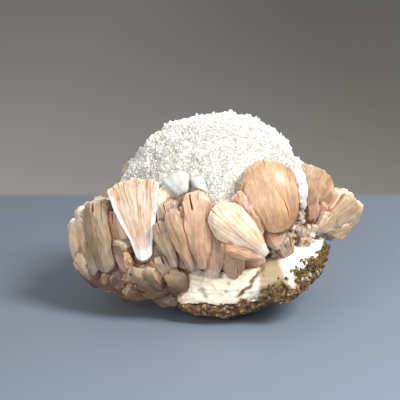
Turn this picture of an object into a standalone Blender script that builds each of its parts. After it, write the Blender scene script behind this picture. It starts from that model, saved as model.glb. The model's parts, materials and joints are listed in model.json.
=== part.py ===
"""Scolecite on stilbite: a white spiny dome of scolecite set in a nest of peach stilbite sheaves,
on a chalky zeolite base with a basalt rind and two crusts of green celadonite.

Lengths below are millimetres, and MM turns them into Blender's metres when a mesh is made.
The origin is the middle of the flat that the specimen rests on. +Z is up, and the front faces -Y.
Bearings are degrees from +X towards +Y, seen from above.
"""

import math
import random
from typing import NamedTuple

import bmesh
import bpy
from mathutils import Quaternion, Vector, noise

MM = 0.001
# The gap between two pieces that grew onto each other.
GAP = 0.35
# A ring of points is moved a little more than the gap, because the faces between them come nearer.
GAP_AT_POINTS = 1.3 * GAP
# Faces that differ by less than this are joined after a cut.
FLAT_ANGLE = math.radians(0.4)

# The spiny dome: a ball cut off flat where it sits in the nest.
DOME_CENTRE = Vector((-0.6, 5.0, 32.8))
DOME_RADIUS = 31.3
DOME_FOOT_Z = 27.5
DOME_SWELL = 1.0
DOME_SEED = 7
SPINE_LENGTH = (0.9, 2.0)
SPINE_LEAN = 0.5
SPINES_FROM = 6.5
# How far a coarse ball's flat faces lie inside the round one.
COARSE_BALL_SAG = 0.5
# The direction, height and width of the dome's broader swellings.
DOME_BUMPS = (
    (Vector((-0.42, -0.25, 0.87)), 1.2, 0.10),
    (Vector((0.50, -0.20, 0.84)), 1.4, 0.08),
    (Vector((-0.95, -0.20, 0.20)), 1.4, 0.06),
)

# The small smooth white growth in the crevice before the dome: centre and half sizes of its lobes.
NUB_LOBES = (
    ((-13.6, -23.6, 46.2), (4.2, 3.8, 3.8)),
    ((-8.6, -23.6, 48.0), (2.6, 3.0, 2.0)),
    ((-5.2, -24.6, 46.9), (1.9, 2.4, 2.4)),
)

# The ribbed stilbite fans.
RIB_GROOVE = 0.20
CREST_STEP = 0.07
SHEAF_ROWS = (0.0, 0.45, 0.90)
CREST_SHOULDER = 0.80
# A sheaf's cutter has few columns, so it is larger by what their straight chords cut off.
CUTTER_COLUMNS = 5
CUTTER_SAG = 0.3
CUTTER_REACH = 1.02


class Sheaf(NamedTuple):
    """One stilbite sheaf: blades that spread like a fan from a narrow foot to a broad crest.

    Width and depth are half of the whole, at the foot and at the crest. Dome rounds the face
    across the sheaf, drop shortens its outer blades, and bow arches it outwards. Its face looks
    towards turn, in degrees from the front towards +X.
    """

    name: str
    foot: tuple
    crest: tuple
    width: tuple
    depth: tuple
    dome: float
    drop: float
    bow: float
    turn: float
    blades: int
    tone: str


SHEAVES = (
    Sheaf("centre_shell", (15.8, -36.0, 26.1), (-1.7, -31.0, 40.9), (1.8, 7.4), (2.6, 4.6),
          0.50, 0.28, 1.6, 4, 5, "cream"),
    Sheaf("left_fan", (-23.3, -27.0, 21.5), (-28.4, -16.0, 46.1), (2.9, 8.7), (2.8, 5.0),
          0.12, 0.10, 0.4, -6, 7, "cream"),
    Sheaf("domed", (21.1, -30.0, 31.9), (14.9, -21.0, 53.7), (5.8, 9.9), (3.8, 6.0),
          0.55, 0.30, 2.2, 6, 6, "peach"),
    Sheaf("centre_tall", (-4.8, -32.0, 20.5), (-7.4, -27.0, 45.6), (1.8, 5.0), (2.4, 4.6),
          0.45, 0.16, 1.2, 0, 4, "rose"),
    Sheaf("slender_front", (-8.1, -31.0, 20.2), (-14.8, -28.0, 40.3), (1.4, 3.8), (2.2, 3.8),
          0.40, 0.30, 0.8, -8, 3, "peach"),
    Sheaf("slender_side", (-13.2, -29.0, 20.7), (-18.4, -26.0, 35.6), (1.4, 3.6), (2.2, 3.6),
          0.40, 0.30, 0.8, -14, 3, "tan"),
    Sheaf("left_wing", (-20.1, -26.0, 26.6), (-18.2, -19.0, 45.7), (2.4, 5.2), (2.6, 5.0),
          0.35, 0.20, 0.6, 14, 4, "cream"),
    Sheaf("centre_rose", (14.4, -31.0, 31.1), (6.4, -26.0, 44.1), (1.8, 4.2), (2.4, 4.2),
          0.50, 0.30, 1.0, 0, 3, "rose"),
    Sheaf("pearl_band", (27.4, -26.0, 39.2), (24.8, -19.0, 51.0), (1.6, 2.8), (2.4, 3.8),
          0.30, 0.25, 0.4, 16, 3, "pearl"),
    Sheaf("centre_lobe", (15.2, -36.0, 25.2), (0.9, -33.0, 29.1), (1.4, 3.1), (2.0, 3.2),
          0.40, 0.40, 0.8, 0, 2, "peach"),
    Sheaf("left_broad", (-34.8, -20.0, 16.3), (-39.3, -12.0, 38.9), (3.2, 5.8), (3.0, 5.0),
          0.45, 0.14, 0.9, -32, 4, "tan"),
    Sheaf("left_pale", (-40.7, -15.0, 20.8), (-43.6, -8.0, 36.3), (1.6, 3.4), (2.2, 3.8),
          0.40, 0.30, 0.7, -52, 2, "cream"),
    Sheaf("left_outer", (-44.9, -8.0, 15.9), (-46.8, 0.0, 29.8), (2.4, 5.2), (2.6, 3.8),
          0.50, 0.35, 1.2, -72, 3, "tan"),
    Sheaf("right_crest", (27.4, -19.0, 37.6), (31.6, -11.0, 48.4), (3.6, 8.2), (3.4, 5.0),
          0.40, 0.20, 0.8, 26, 5, "peach"),
    Sheaf("cave", (30.5, -20.0, 33.2), (29.9, -17.0, 42.3), (1.5, 2.4), (1.6, 2.4),
          0.30, 0.20, 0.3, 20, 2, "rust"),
    Sheaf("right_end", (35.0, -12.0, 29.8), (44.9, -5.0, 38.3), (4.2, 7.8), (3.6, 6.0),
          0.40, 0.20, 0.6, 30, 5, "tan"),
    Sheaf("right_low", (30.6, -20.0, 29.0), (36.5, -15.0, 34.6), (1.8, 3.2), (1.8, 3.0),
          0.40, 0.30, 0.4, 24, 2, "tan"),
    Sheaf("right_back", (36.5, 7.0, 21.0), (40.6, 10.5, 38.4), (3.8, 8.0), (3.4, 5.6),
          0.40, 0.20, 0.9, 92, 5, "peach"),
    Sheaf("back_right", (26.0, 25.5, 19.0), (29.6, 29.4, 42.4), (3.8, 8.2), (3.4, 5.6),
          0.40, 0.18, 1.0, 136, 5, "cream"),
    Sheaf("back_wide", (6.0, 35.0, 18.0), (9.0, 38.6, 47.5), (4.4, 10.2), (3.4, 5.4),
          0.45, 0.20, 1.4, 174, 6, "peach"),
    Sheaf("back_slender", (-9.0, 35.0, 19.0), (-10.0, 37.6, 42.5), (2.2, 5.2), (3.0, 4.8),
          0.40, 0.25, 0.9, 190, 3, "rose"),
    Sheaf("back_left", (-22.5, 28.0, 19.0), (-25.6, 31.0, 46.0), (3.6, 8.8), (3.2, 5.4),
          0.40, 0.16, 1.0, 216, 5, "tan"),
    Sheaf("left_back", (-37.6, 11.5, 16.0), (-41.0, 13.0, 34.0), (3.4, 7.4), (3.2, 5.2),
          0.40, 0.20, 0.9, 252, 4, "cream"),
)

# Height, then the least and greatest X and Y of the matrix there, from its resting flat up.
MATRIX_LEVELS = (
    (0.0, -11.0, 11.0, -17.0, 14.0),
    (2.5, -13.5, 15.0, -24.0, 19.0),
    (5.5, -15.5, 23.0, -30.0, 25.0),
    (9.0, -16.0, 31.0, -32.0, 28.0),
    (13.0, -16.0, 36.0, -32.5, 29.0),
    (17.8, -15.0, 37.5, -31.5, 29.0),
    (20.5, -10.0, 34.0, -26.0, 25.0),
)
MATRIX_SIDES = 17
MATRIX_ROUGHNESS = 0.8
MATRIX_SEED = 3
# How far an outline's corners fill their square, from 0, an ellipse, to 1, the square.
SQUARENESS = 0.45
# Above its second level, the stone stands higher at +X, and more steeply beyond the break.
SLOPE = 0.09
SLOPE_BREAK_X = 14.0
SLOPE_BEYOND = 0.26
# The rind's top lies this high at the front, and climbs towards the back.
RIND_TOP = 9.0
RIND_BACK_CLIMB = 0.05
RIND_ROUGHNESS = 1.6
RIND_LUMPS_PER_MM = 0.16
# The block that parts the base from the rind: its middle X, half its sizes in X and Y, and its bottom.
RIND_BLOCK_X = 10.0
RIND_BLOCK_HALF = (36.0, 40.0)
RIND_BLOCK_Z = -9.0

# Height, then the least and greatest X and Y of the bed of small crystals there.
BED_LEVELS = (
    (10.5, -26.0, 16.0, -17.0, 20.0),
    (14.0, -36.0, 28.0, -20.5, 29.0),
    (19.0, -42.0, 32.0, -24.0, 34.5),
    (25.0, -43.0, 35.0, -27.0, 36.0),
    (31.0, -41.0, 36.5, -27.5, 36.0),
    (36.5, -38.5, 36.5, -26.5, 36.0),
)
BED_SIDES = 18
BED_ROUGHNESS = 1.1
BED_SEED = 5

# Where small crystals leave the bed: bearing, height, and tilt above the horizon.
BED_CRYSTALS = (
    *((bearing, 19.0, -25.0) for bearing in range(188, 250, 12)),
    *((bearing, 14.5, -48.0) for bearing in range(186, 262, 11)),
    *((bearing, 25.0, -8.0) for bearing in range(188, 240, 16)),
    *((bearing, 23.0, 8.0) for bearing in range(264, 330, 13)),
    *((bearing, 17.0, -35.0) for bearing in range(-6, 180, 31)),
    *((bearing, 25.0, 6.0) for bearing in range(10, 184, 31)),
    *((bearing, 30.0, 36.0) for bearing in range(-12, 198, 26)),
)
BED_CRYSTAL_LENGTH = (9.0, 13.0)
BED_CRYSTAL_WIDTH = (2.4, 3.8)
BED_CRYSTAL_DEPTH = (1.4, 2.1)
BED_CRYSTAL_TILT_SPREAD = 13
BED_CRYSTAL_TURN_SPREAD = 20
BED_CRYSTAL_BURIED = 0.55
# How wide and deep a small crystal's foot is, where its shoulder is, and its chisel edge's two ends.
BED_CRYSTAL_FOOT = (0.6, 0.7)
BED_CRYSTAL_SHOULDER = 0.78
BED_CRYSTAL_EDGE = ((1.0, -0.55), (0.96, 0.55))
BED_CRYSTAL_SEED = 11

# Bearing, height and radius of each lump in a celadonite crust, on the side of the matrix.
CELADONITE = {
    "celadonite_crust": (
        (-26.0, 14.8, 2.8), (-32.0, 14.4, 3.4), (-39.0, 13.8, 3.6), (-46.0, 13.2, 3.4), (-53.0, 12.6, 2.8),
    ),
    "celadonite_speck": ((-64.0, 10.8, 2.6), (-69.0, 10.0, 2.2)),
}
LUMP_SINK = 0.3
LUMP_FLATNESS = 0.8

# Base colour, roughness, and the share of light that goes into the mineral and out again.
FINISHES = {
    "scolecite_white": ((0.93, 0.91, 0.88), 0.35, 0.25),
    "stilbite_cream": ((0.88, 0.74, 0.56), 0.38, 0.15),
    "stilbite_peach": ((0.84, 0.60, 0.40), 0.40, 0.15),
    "stilbite_rose": ((0.80, 0.54, 0.40), 0.40, 0.15),
    "stilbite_tan": ((0.66, 0.50, 0.35), 0.45, 0.15),
    "stilbite_pearl": ((0.92, 0.86, 0.80), 0.35, 0.15),
    "stilbite_rust": ((0.50, 0.24, 0.16), 0.50, 0.10),
    "stilbite_bed": ((0.58, 0.43, 0.31), 0.55, 0.10),
    "zeolite_chalk": ((0.88, 0.84, 0.74), 0.70, 0.0),
    "basalt": ((0.17, 0.13, 0.09), 0.85, 0.0),
    "celadonite": ((0.24, 0.24, 0.06), 0.85, 0.0),
}


def clear_scene():
    for old in list(bpy.data.objects):
        bpy.data.objects.remove(old)


def finish_of(name):
    """The material of one mineral, made the first time that it is asked for."""
    if name in bpy.data.materials:
        return bpy.data.materials[name]
    colour, roughness, subsurface = FINISHES[name]
    material = bpy.data.materials.new(name)
    material.use_nodes = True
    shader = material.node_tree.nodes["Principled BSDF"]
    shader.inputs["Base Color"].default_value = (*colour, 1.0)
    shader.inputs["Roughness"].default_value = roughness
    shader.inputs["Metallic"].default_value = 0.0
    shader.inputs["Subsurface Weight"].default_value = subsurface
    material.diffuse_color = (*colour, 1.0)
    return material


def piece_from(name, shape, finish=None):
    """An object made from a bmesh in millimetres. With no finish it is a cutter and no part of the model."""
    bmesh.ops.triangulate(shape, faces=shape.faces)
    bmesh.ops.recalc_face_normals(shape, faces=shape.faces)
    bmesh.ops.scale(shape, vec=(MM, MM, MM), verts=shape.verts)
    mesh = bpy.data.meshes.new(name)
    shape.to_mesh(mesh)
    shape.free()
    piece = bpy.data.objects.new(name, mesh)
    bpy.context.scene.collection.objects.link(piece)
    if finish:
        mesh.materials.append(finish_of(finish))
    else:
        piece.hide_render = True
        piece.display_type = "WIRE"
    return piece


def tidy_cut(mesh):
    """Deletes the loose chips that a cut can leave, and joins the flat faces that it split."""
    shape = bmesh.new()
    shape.from_mesh(mesh)
    unseen = set(shape.verts)
    bodies = []
    while unseen:
        found = [unseen.pop()]
        for vert in found:
            joined = {edge.other_vert(vert) for edge in vert.link_edges} & unseen
            unseen -= joined
            found.extend(joined)
        bodies.append(found)
    bodies.sort(key=len)
    chips = [vert for body in bodies[:-1] for vert in body]
    bmesh.ops.delete(shape, geom=chips, context="VERTS")
    bmesh.ops.dissolve_limit(shape, angle_limit=FLAT_ANGLE, verts=shape.verts, edges=shape.edges)
    bmesh.ops.triangulate(shape, faces=shape.faces)
    shape.to_mesh(mesh)
    shape.free()


def carve(piece, others, operation="DIFFERENCE", tangled=False):
    """Cuts the others from a piece, or joins them to it, and keeps the result as its mesh."""
    for other in others:
        cut = piece.modifiers.new("carve", "BOOLEAN")
        cut.operation = operation
        cut.solver = "EXACT"
        cut.use_self = tangled
        cut.object = other
    bpy.context.view_layer.update()
    graph = bpy.context.evaluated_depsgraph_get()
    carved = bpy.data.meshes.new_from_object(piece.evaluated_get(graph))
    piece.modifiers.clear()
    piece.data = carved
    tidy_cut(carved)


def near(piece, cutters):
    """Those cutters whose boxes meet the piece's box. Every object stands at the origin here."""

    def span(thing):
        corners = [Vector(corner) for corner in thing.bound_box]
        low = [min(corner[axis] for corner in corners) for axis in range(3)]
        high = [max(corner[axis] for corner in corners) for axis in range(3)]
        return low, high

    low, high = span(piece)
    found = []
    for cutter in cutters:
        cutter_low, cutter_high = span(cutter)
        if all(low[axis] < cutter_high[axis] and cutter_low[axis] < high[axis] for axis in range(3)):
            found.append(cutter)
    return found


def sheaf_axes(sheaf):
    """The sheaf's length, and its directions along, across and out of its face."""
    foot, crest = Vector(sheaf.foot), Vector(sheaf.crest)
    along = (crest - foot).normalized()
    turn = math.radians(sheaf.turn)
    face = Vector((math.sin(turn), -math.cos(turn), 0.0))
    face = (face - face.dot(along) * along).normalized()
    return (crest - foot).length, along, along.cross(face), face


def sheaf_shape(sheaf, cutter=False):
    """A closed fan with a rib for each blade and a stepped crest. Its cutter is larger and smooth."""
    length, along, across, face = sheaf_axes(sheaf)
    dice = random.Random(sheaf.name)
    steps = [1.0 - CREST_STEP * dice.random() for _ in range(sheaf.blades)]
    columns = CUTTER_COLUMNS if cutter else 2 * sheaf.blades + 1
    grow = GAP + CUTTER_SAG if cutter else 0.0
    shape = bmesh.new()
    lines = []
    for column in range(columns):
        t = -1.0 + 2.0 * column / (columns - 1)
        in_groove = column % 2 == 0 and not cutter
        blades_here = steps[max((column - 1) // 2, 0) : column // 2 + 1]
        step = CUTTER_REACH if cutter else min(blades_here) - CREST_STEP / 3 * in_groove
        reach = length * (1.0 - sheaf.drop * t * t) * step
        share = (1.0 - sheaf.dome * t * t) * (1.0 - RIB_GROOVE * in_groove)

        def point(row, side):
            half_width = sheaf.width[0] + (sheaf.width[1] - sheaf.width[0]) * row + grow
            half_depth = sheaf.depth[0] + (sheaf.depth[1] - sheaf.depth[0]) * row
            half_depth *= share * (CREST_SHOULDER if row == SHEAF_ROWS[-1] and not cutter else 1.0)
            height = reach * row + grow * (2.0 * row - 1.0)
            out = side * (half_depth + grow) + sheaf.bow * math.sin(math.pi * row)
            return Vector(sheaf.foot) + along * height + across * (t * half_width) + face * out

        front = [shape.verts.new(point(row, 1)) for row in SHEAF_ROWS]
        back = [shape.verts.new(point(row, -1)) for row in SHEAF_ROWS]
        lines.append([*front, shape.verts.new(point(1.0, 0)), *reversed(back)])
    turns = len(lines[0])
    for here, after in zip(lines, lines[1:]):
        for k in range(turns):
            shape.faces.new((here[k], after[k], after[(k + 1) % turns], here[(k + 1) % turns]))
    rows = len(SHEAF_ROWS)
    for line in (lines[0], lines[-1]):
        for k in range(rows - 1):
            shape.faces.new((line[k], line[k + 1], line[-k - 2], line[-k - 1]))
        shape.faces.new(line[rows - 1 : rows + 2])
    return shape


def slope(x):
    """How much higher the stone stands at X."""
    return SLOPE * x + SLOPE_BEYOND * max(0.0, x - SLOPE_BREAK_X)


def level_at(levels, height):
    """The least and greatest X and Y at a height between a stone's levels."""
    for lower, upper in zip(levels, levels[1:]):
        if lower[0] <= height <= upper[0]:
            share = (height - lower[0]) / (upper[0] - lower[0])
            return [a + (b - a) * share for a, b in zip(lower[1:], upper[1:])]
    raise ValueError(f"no level at {height}")


def rim_point(extent, bearing):
    """The point at a bearing on a rounded outline between the least and greatest X and Y."""
    x_low, x_high, y_low, y_high = extent
    x, y = math.cos(bearing), math.sin(bearing)
    fullness = max(abs(x), abs(y)) ** -SQUARENESS
    return (
        (x_low + x_high) / 2 + x * fullness * (x_high - x_low) / 2,
        (y_low + y_high) / 2 + y * fullness * (y_high - y_low) / 2,
    )


def stone_shape(levels, sides, roughness, seed):
    """A rough closed stone through one ring of points for each level. Its lowest ring is flat."""
    dice = random.Random(seed)
    shape = bmesh.new()
    rings = []
    for index, (height, *extent) in enumerate(levels):
        wobble = roughness if index else 0.0
        ring = []
        for side in range(sides):
            bearing = 2 * math.pi * (side + 0.5 * (index % 2)) / sides
            x, y = rim_point(extent, bearing)
            x += dice.uniform(-wobble, wobble)
            y += dice.uniform(-wobble, wobble)
            z = height + 0.7 * dice.uniform(-wobble, wobble) + (slope(x) if index > 1 else 0.0)
            ring.append(shape.verts.new((x, y, z)))
        rings.append(ring)
    for index, (lower, upper) in enumerate(zip(rings, rings[1:])):
        for side in range(sides):
            after = (side + 1) % sides
            if index % 2 == 0:
                shape.faces.new((lower[side], lower[after], upper[side]))
                shape.faces.new((upper[side], lower[after], upper[after]))
            else:
                shape.faces.new((lower[side], lower[after], upper[after]))
                shape.faces.new((lower[side], upper[after], upper[side]))
    shape.faces.new(rings[0][::-1])
    bmesh.ops.poke(shape, faces=[shape.faces.new(rings[-1])])
    return shape


def matrix_shape(cutter=False):
    """The stone that the base and the rind are parted from. Its cutter is larger by the gap."""
    shape = stone_shape(MATRIX_LEVELS, MATRIX_SIDES, MATRIX_ROUGHNESS, MATRIX_SEED)
    if cutter:
        bmesh.ops.recalc_face_normals(shape, faces=shape.faces)
        shape.normal_update()
        for vert in shape.verts:
            vert.co += vert.normal * GAP_AT_POINTS
    return shape


def rind_cutter(lift):
    """A block under the rind's rough top. Lifted by the gap, it parts the chalky base from the rind."""
    shape = bmesh.new()
    top = bmesh.ops.create_grid(shape, x_segments=14, y_segments=12, size=1.0)["verts"]
    for vert in top:
        x, y = RIND_BLOCK_X + RIND_BLOCK_HALF[0] * vert.co.x, RIND_BLOCK_HALF[1] * vert.co.y
        rough = RIND_ROUGHNESS * noise.noise(Vector((x, y, 0.0)) * RIND_LUMPS_PER_MM)
        vert.co = Vector((x, y, RIND_TOP + slope(x) + RIND_BACK_CLIMB * y + rough + lift))
    sides = bmesh.ops.extrude_face_region(shape, geom=shape.faces[:])["geom"]
    for vert in (item for item in sides if isinstance(item, bmesh.types.BMVert)):
        vert.co.z = RIND_BLOCK_Z
    return piece_from("rind_cutter", shape)


def lump_shape(lobes, subdivisions, grow=0.0):
    """Overlapping balls with faceted, slightly uneven faces, one for each lobe."""
    shape = bmesh.new()
    for centre, half_sizes in lobes:
        ball = bmesh.ops.create_icosphere(shape, subdivisions=subdivisions, radius=1.0)["verts"]
        for vert in ball:
            rough = 1.0 + 0.12 * noise.noise(vert.co * 2.3 + Vector(centre))
            reach = Vector((vert.co[axis] * (half_sizes[axis] * rough + grow) for axis in range(3)))
            vert.co = Vector(centre) + reach
    return shape


def crust_lobe(bearing, height, radius):
    """Centre and half sizes of a lump that sits on the side of the matrix."""
    turn = math.radians(bearing)
    x, y = rim_point(level_at(MATRIX_LEVELS, height), turn)
    centre = (x - LUMP_SINK * math.cos(turn), y - LUMP_SINK * math.sin(turn), height + slope(x))
    return centre, (radius, radius, radius * LUMP_FLATNESS)


def dome_shape(spiny):
    """The scolecite ball cut off flat at its foot, with a spine on each face above the nest.

    One without spines is coarser and clears their tips, to cut with.
    """
    dice = random.Random(DOME_SEED)
    clearance = 0.0 if spiny else SPINE_LENGTH[1] + SPINE_LEAN + GAP + COARSE_BALL_SAG
    shape = bmesh.new()
    bmesh.ops.create_icosphere(shape, subdivisions=4 if spiny else 3, radius=1.0)
    for vert in shape.verts:
        way = vert.co.normalized()
        radius = DOME_RADIUS + DOME_SWELL * noise.noise(way * 2.6)
        for direction, height, width in DOME_BUMPS:
            radius += height * math.exp(-(1.0 - way.dot(direction.normalized())) / width)
        vert.co = DOME_CENTRE + way * (radius + clearance)
    foot = DOME_FOOT_Z - (0.0 if spiny else GAP)
    bmesh.ops.bisect_plane(
        shape, geom=shape.verts[:] + shape.edges[:] + shape.faces[:],
        plane_co=(0, 0, foot), plane_no=(0, 0, 1), clear_inner=True,
    )
    rim = [edge for edge in shape.edges if edge.is_boundary]
    bmesh.ops.edgeloop_fill(shape, edges=rim)
    if spiny:
        upper = [face for face in shape.faces if face.calc_center_median().z > foot + SPINES_FROM]
        for vert in bmesh.ops.poke(shape, faces=upper)["verts"]:
            way = (vert.co - DOME_CENTRE).normalized()
            lean = Vector([dice.uniform(-SPINE_LEAN, SPINE_LEAN) for _ in range(3)])
            vert.co += way * dice.uniform(*SPINE_LENGTH) + lean
    return shape


def bed_crystal(shape, dice, bearing, height, tilt):
    """Adds one small crystal, a blade with a chisel edge, whose foot is inside the bed."""
    turn = math.radians(bearing)
    x, y = rim_point(level_at(BED_LEVELS, height), turn)
    up = math.radians(tilt + dice.uniform(-BED_CRYSTAL_TILT_SPREAD, BED_CRYSTAL_TILT_SPREAD))
    side = turn + math.radians(dice.uniform(-BED_CRYSTAL_TURN_SPREAD, BED_CRYSTAL_TURN_SPREAD))
    along = Vector((math.cos(side) * math.cos(up), math.sin(side) * math.cos(up), math.sin(up)))
    across = along.orthogonal().normalized()
    across.rotate(Quaternion(along, math.radians(dice.uniform(0, 180))))
    face = along.cross(across)
    length = dice.uniform(*BED_CRYSTAL_LENGTH)
    width = dice.uniform(*BED_CRYSTAL_WIDTH)
    depth = dice.uniform(*BED_CRYSTAL_DEPTH)
    foot = Vector((x, y, height + slope(x))) - along * length * BED_CRYSTAL_BURIED

    def corner(share, out, front):
        return shape.verts.new(foot + along * length * share + across * out * width + face * front * depth)

    ring = ((-1, -1), (1, -1), (1, 1), (-1, 1))
    low = [corner(0.0, BED_CRYSTAL_FOOT[0] * out, BED_CRYSTAL_FOOT[1] * front) for out, front in ring]
    high = [corner(BED_CRYSTAL_SHOULDER, out, front) for out, front in ring]
    edge = [corner(share, out, 0.0) for share, out in BED_CRYSTAL_EDGE]
    shape.faces.new(low[::-1])
    for k in range(4):
        shape.faces.new((low[k], low[(k + 1) % 4], high[(k + 1) % 4], high[k]))
    shape.faces.new((high[0], high[1], edge[1], edge[0]))
    shape.faces.new((high[2], high[3], edge[0], edge[1]))
    shape.faces.new((high[1], high[2], edge[1]))
    shape.faces.new((high[3], high[0], edge[0]))


def bed_crystals():
    """Every small crystal of the bed, in one cutter-like object that is joined to it."""
    dice = random.Random(BED_CRYSTAL_SEED)
    shape = bmesh.new()
    for place in BED_CRYSTALS:
        bed_crystal(shape, dice, *place)
    return piece_from("bed_crystals", shape)


def build():
    """Each piece is cut by those made before it, so that all of them fit with a gap."""
    clear_scene()
    piece_from("scolecite_dome", dome_shape(spiny=True), "scolecite_white")
    cutters = [piece_from("cut_dome", dome_shape(spiny=False))]
    for sheaf in SHEAVES:
        piece = piece_from(f"stilbite_{sheaf.name}", sheaf_shape(sheaf), f"stilbite_{sheaf.tone}")
        carve(piece, near(piece, cutters))
        cutters.append(piece_from(f"cut_{sheaf.name}", sheaf_shape(sheaf, cutter=True)))

    nub = piece_from("scolecite_nub", lump_shape(NUB_LOBES, 2), "scolecite_white")
    carve(nub, near(nub, cutters), tangled=True)
    cutters.append(piece_from("cut_nub", lump_shape(NUB_LOBES, 2, grow=GAP)))

    rind = piece_from("basalt_rind", matrix_shape(), "basalt")
    carve(rind, [rind_cutter(0.0)], "INTERSECT")
    base = piece_from("zeolite_base", matrix_shape(), "zeolite_chalk")
    carve(base, [rind_cutter(GAP), *near(base, cutters)])
    cutters.append(piece_from("cut_matrix", matrix_shape(cutter=True)))

    stone = stone_shape(BED_LEVELS, BED_SIDES, BED_ROUGHNESS, BED_SEED)
    bed = piece_from("stilbite_bed", stone, "stilbite_bed")
    carve(bed, [bed_crystals()], "UNION", tangled=True)
    carve(bed, near(bed, cutters))

    for name, places in CELADONITE.items():
        lobes = [crust_lobe(*place) for place in places]
        crust = piece_from(name, lump_shape(lobes, 1), "celadonite")
        carve(crust, near(crust, cutters), tangled=True)


build()
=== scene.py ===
"""Scolecite on stilbite: the looks of the mineral specimen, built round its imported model.

A white ball of fine needles sits in a ring of peach stilbite sheaves. Each sheaf is a fan of many
blades, and the matrix under them is chalky, with a dark rind and olive crusts. Sizes here are in
millimetres and become metres where a mesh is finished.
"""

import json
import math
import random
from typing import NamedTuple

import bmesh
import bpy
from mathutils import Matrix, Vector, noise
from mathutils.bvhtree import BVHTree


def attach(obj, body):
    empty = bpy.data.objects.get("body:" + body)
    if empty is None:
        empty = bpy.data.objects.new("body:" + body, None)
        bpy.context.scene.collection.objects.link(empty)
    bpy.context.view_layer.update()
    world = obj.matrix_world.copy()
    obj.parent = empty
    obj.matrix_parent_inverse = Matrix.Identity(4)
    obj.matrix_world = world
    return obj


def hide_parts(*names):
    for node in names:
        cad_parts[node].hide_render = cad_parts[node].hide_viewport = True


MM = 0.001
PER_METRE = 1000.0

# The photograph's view: where it looks, from how far and how high, and how much it takes in.
VIEW_AIM = Vector((-5.8, 0.0, 36.3))
VIEW_DISTANCE = 500.0
VIEW_ANGLE = math.radians(12.0)
VIEW_WIDTH = 136.0
SENSOR_WIDTH = 36.0

# The dome has its solid's centre and swellings, and nearly its radius.
DOME_CENTRE = Vector((-0.6, 5.0, 32.8))
DOME_RADIUS = 31.2
DOME_SWELL = 1.0
DOME_BUMPS = (
    (Vector((-0.42, -0.25, 0.87)), 1.2, 0.10),
    (Vector((0.50, -0.20, 0.84)), 1.4, 0.08),
    (Vector((-0.95, -0.20, 0.20)), 1.4, 0.06),
)
# Where the crystals of the dome stand further out or back than those swellings. Each row of
# both tables gives a direction, a height and how far round it that reaches.
DOME_TUFTS = (
    (Vector((0.82, -0.20, 0.50)), 1.5, 0.05),
    (Vector((-0.27, 0.20, 0.94)), -2.2, 0.03),
    (Vector((0.20, 0.20, 0.96)), 0.9, 0.008),
    (Vector((-0.62, -0.20, 0.76)), 0.7, 0.015),
)
# The front of the dome is compact: its crystals are short and grown together.
DOME_COMPACT = Vector((0.10, -0.95, 0.28))
# Where the core of the dome is cut off, inside the bed.
DOME_CUT_Z = 28.3


class Fan(NamedTuple):
    """One stilbite sheaf. Its foot, crest and half sizes are near those of its solid, if it has one.

    Dome says how crowned its face is, drop how far its crest falls to the sides, bow how far it
    arches forward in millimetres, and turn which way it faces, in degrees from the front.
    Rim and pale_foot say how white its side edges and its foot are, from 0 to 1. Lean says how far
    its creases run aslant. Belly is how much wider it is in the middle, and crumple how far its
    surface is pushed about, in millimetres. Ragged says how many blades end short, from 0 to 1.
    """

    name: str
    foot: tuple
    crest: tuple
    width: tuple
    depth: tuple
    dome: float
    drop: float
    bow: float
    turn: float
    tone: str
    rim: float = 0.15
    pale_foot: float = 0.3
    lean: float = 0.6
    belly: float = 0.2
    crumple: float = 1.1
    ragged: float = 0.12


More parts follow.
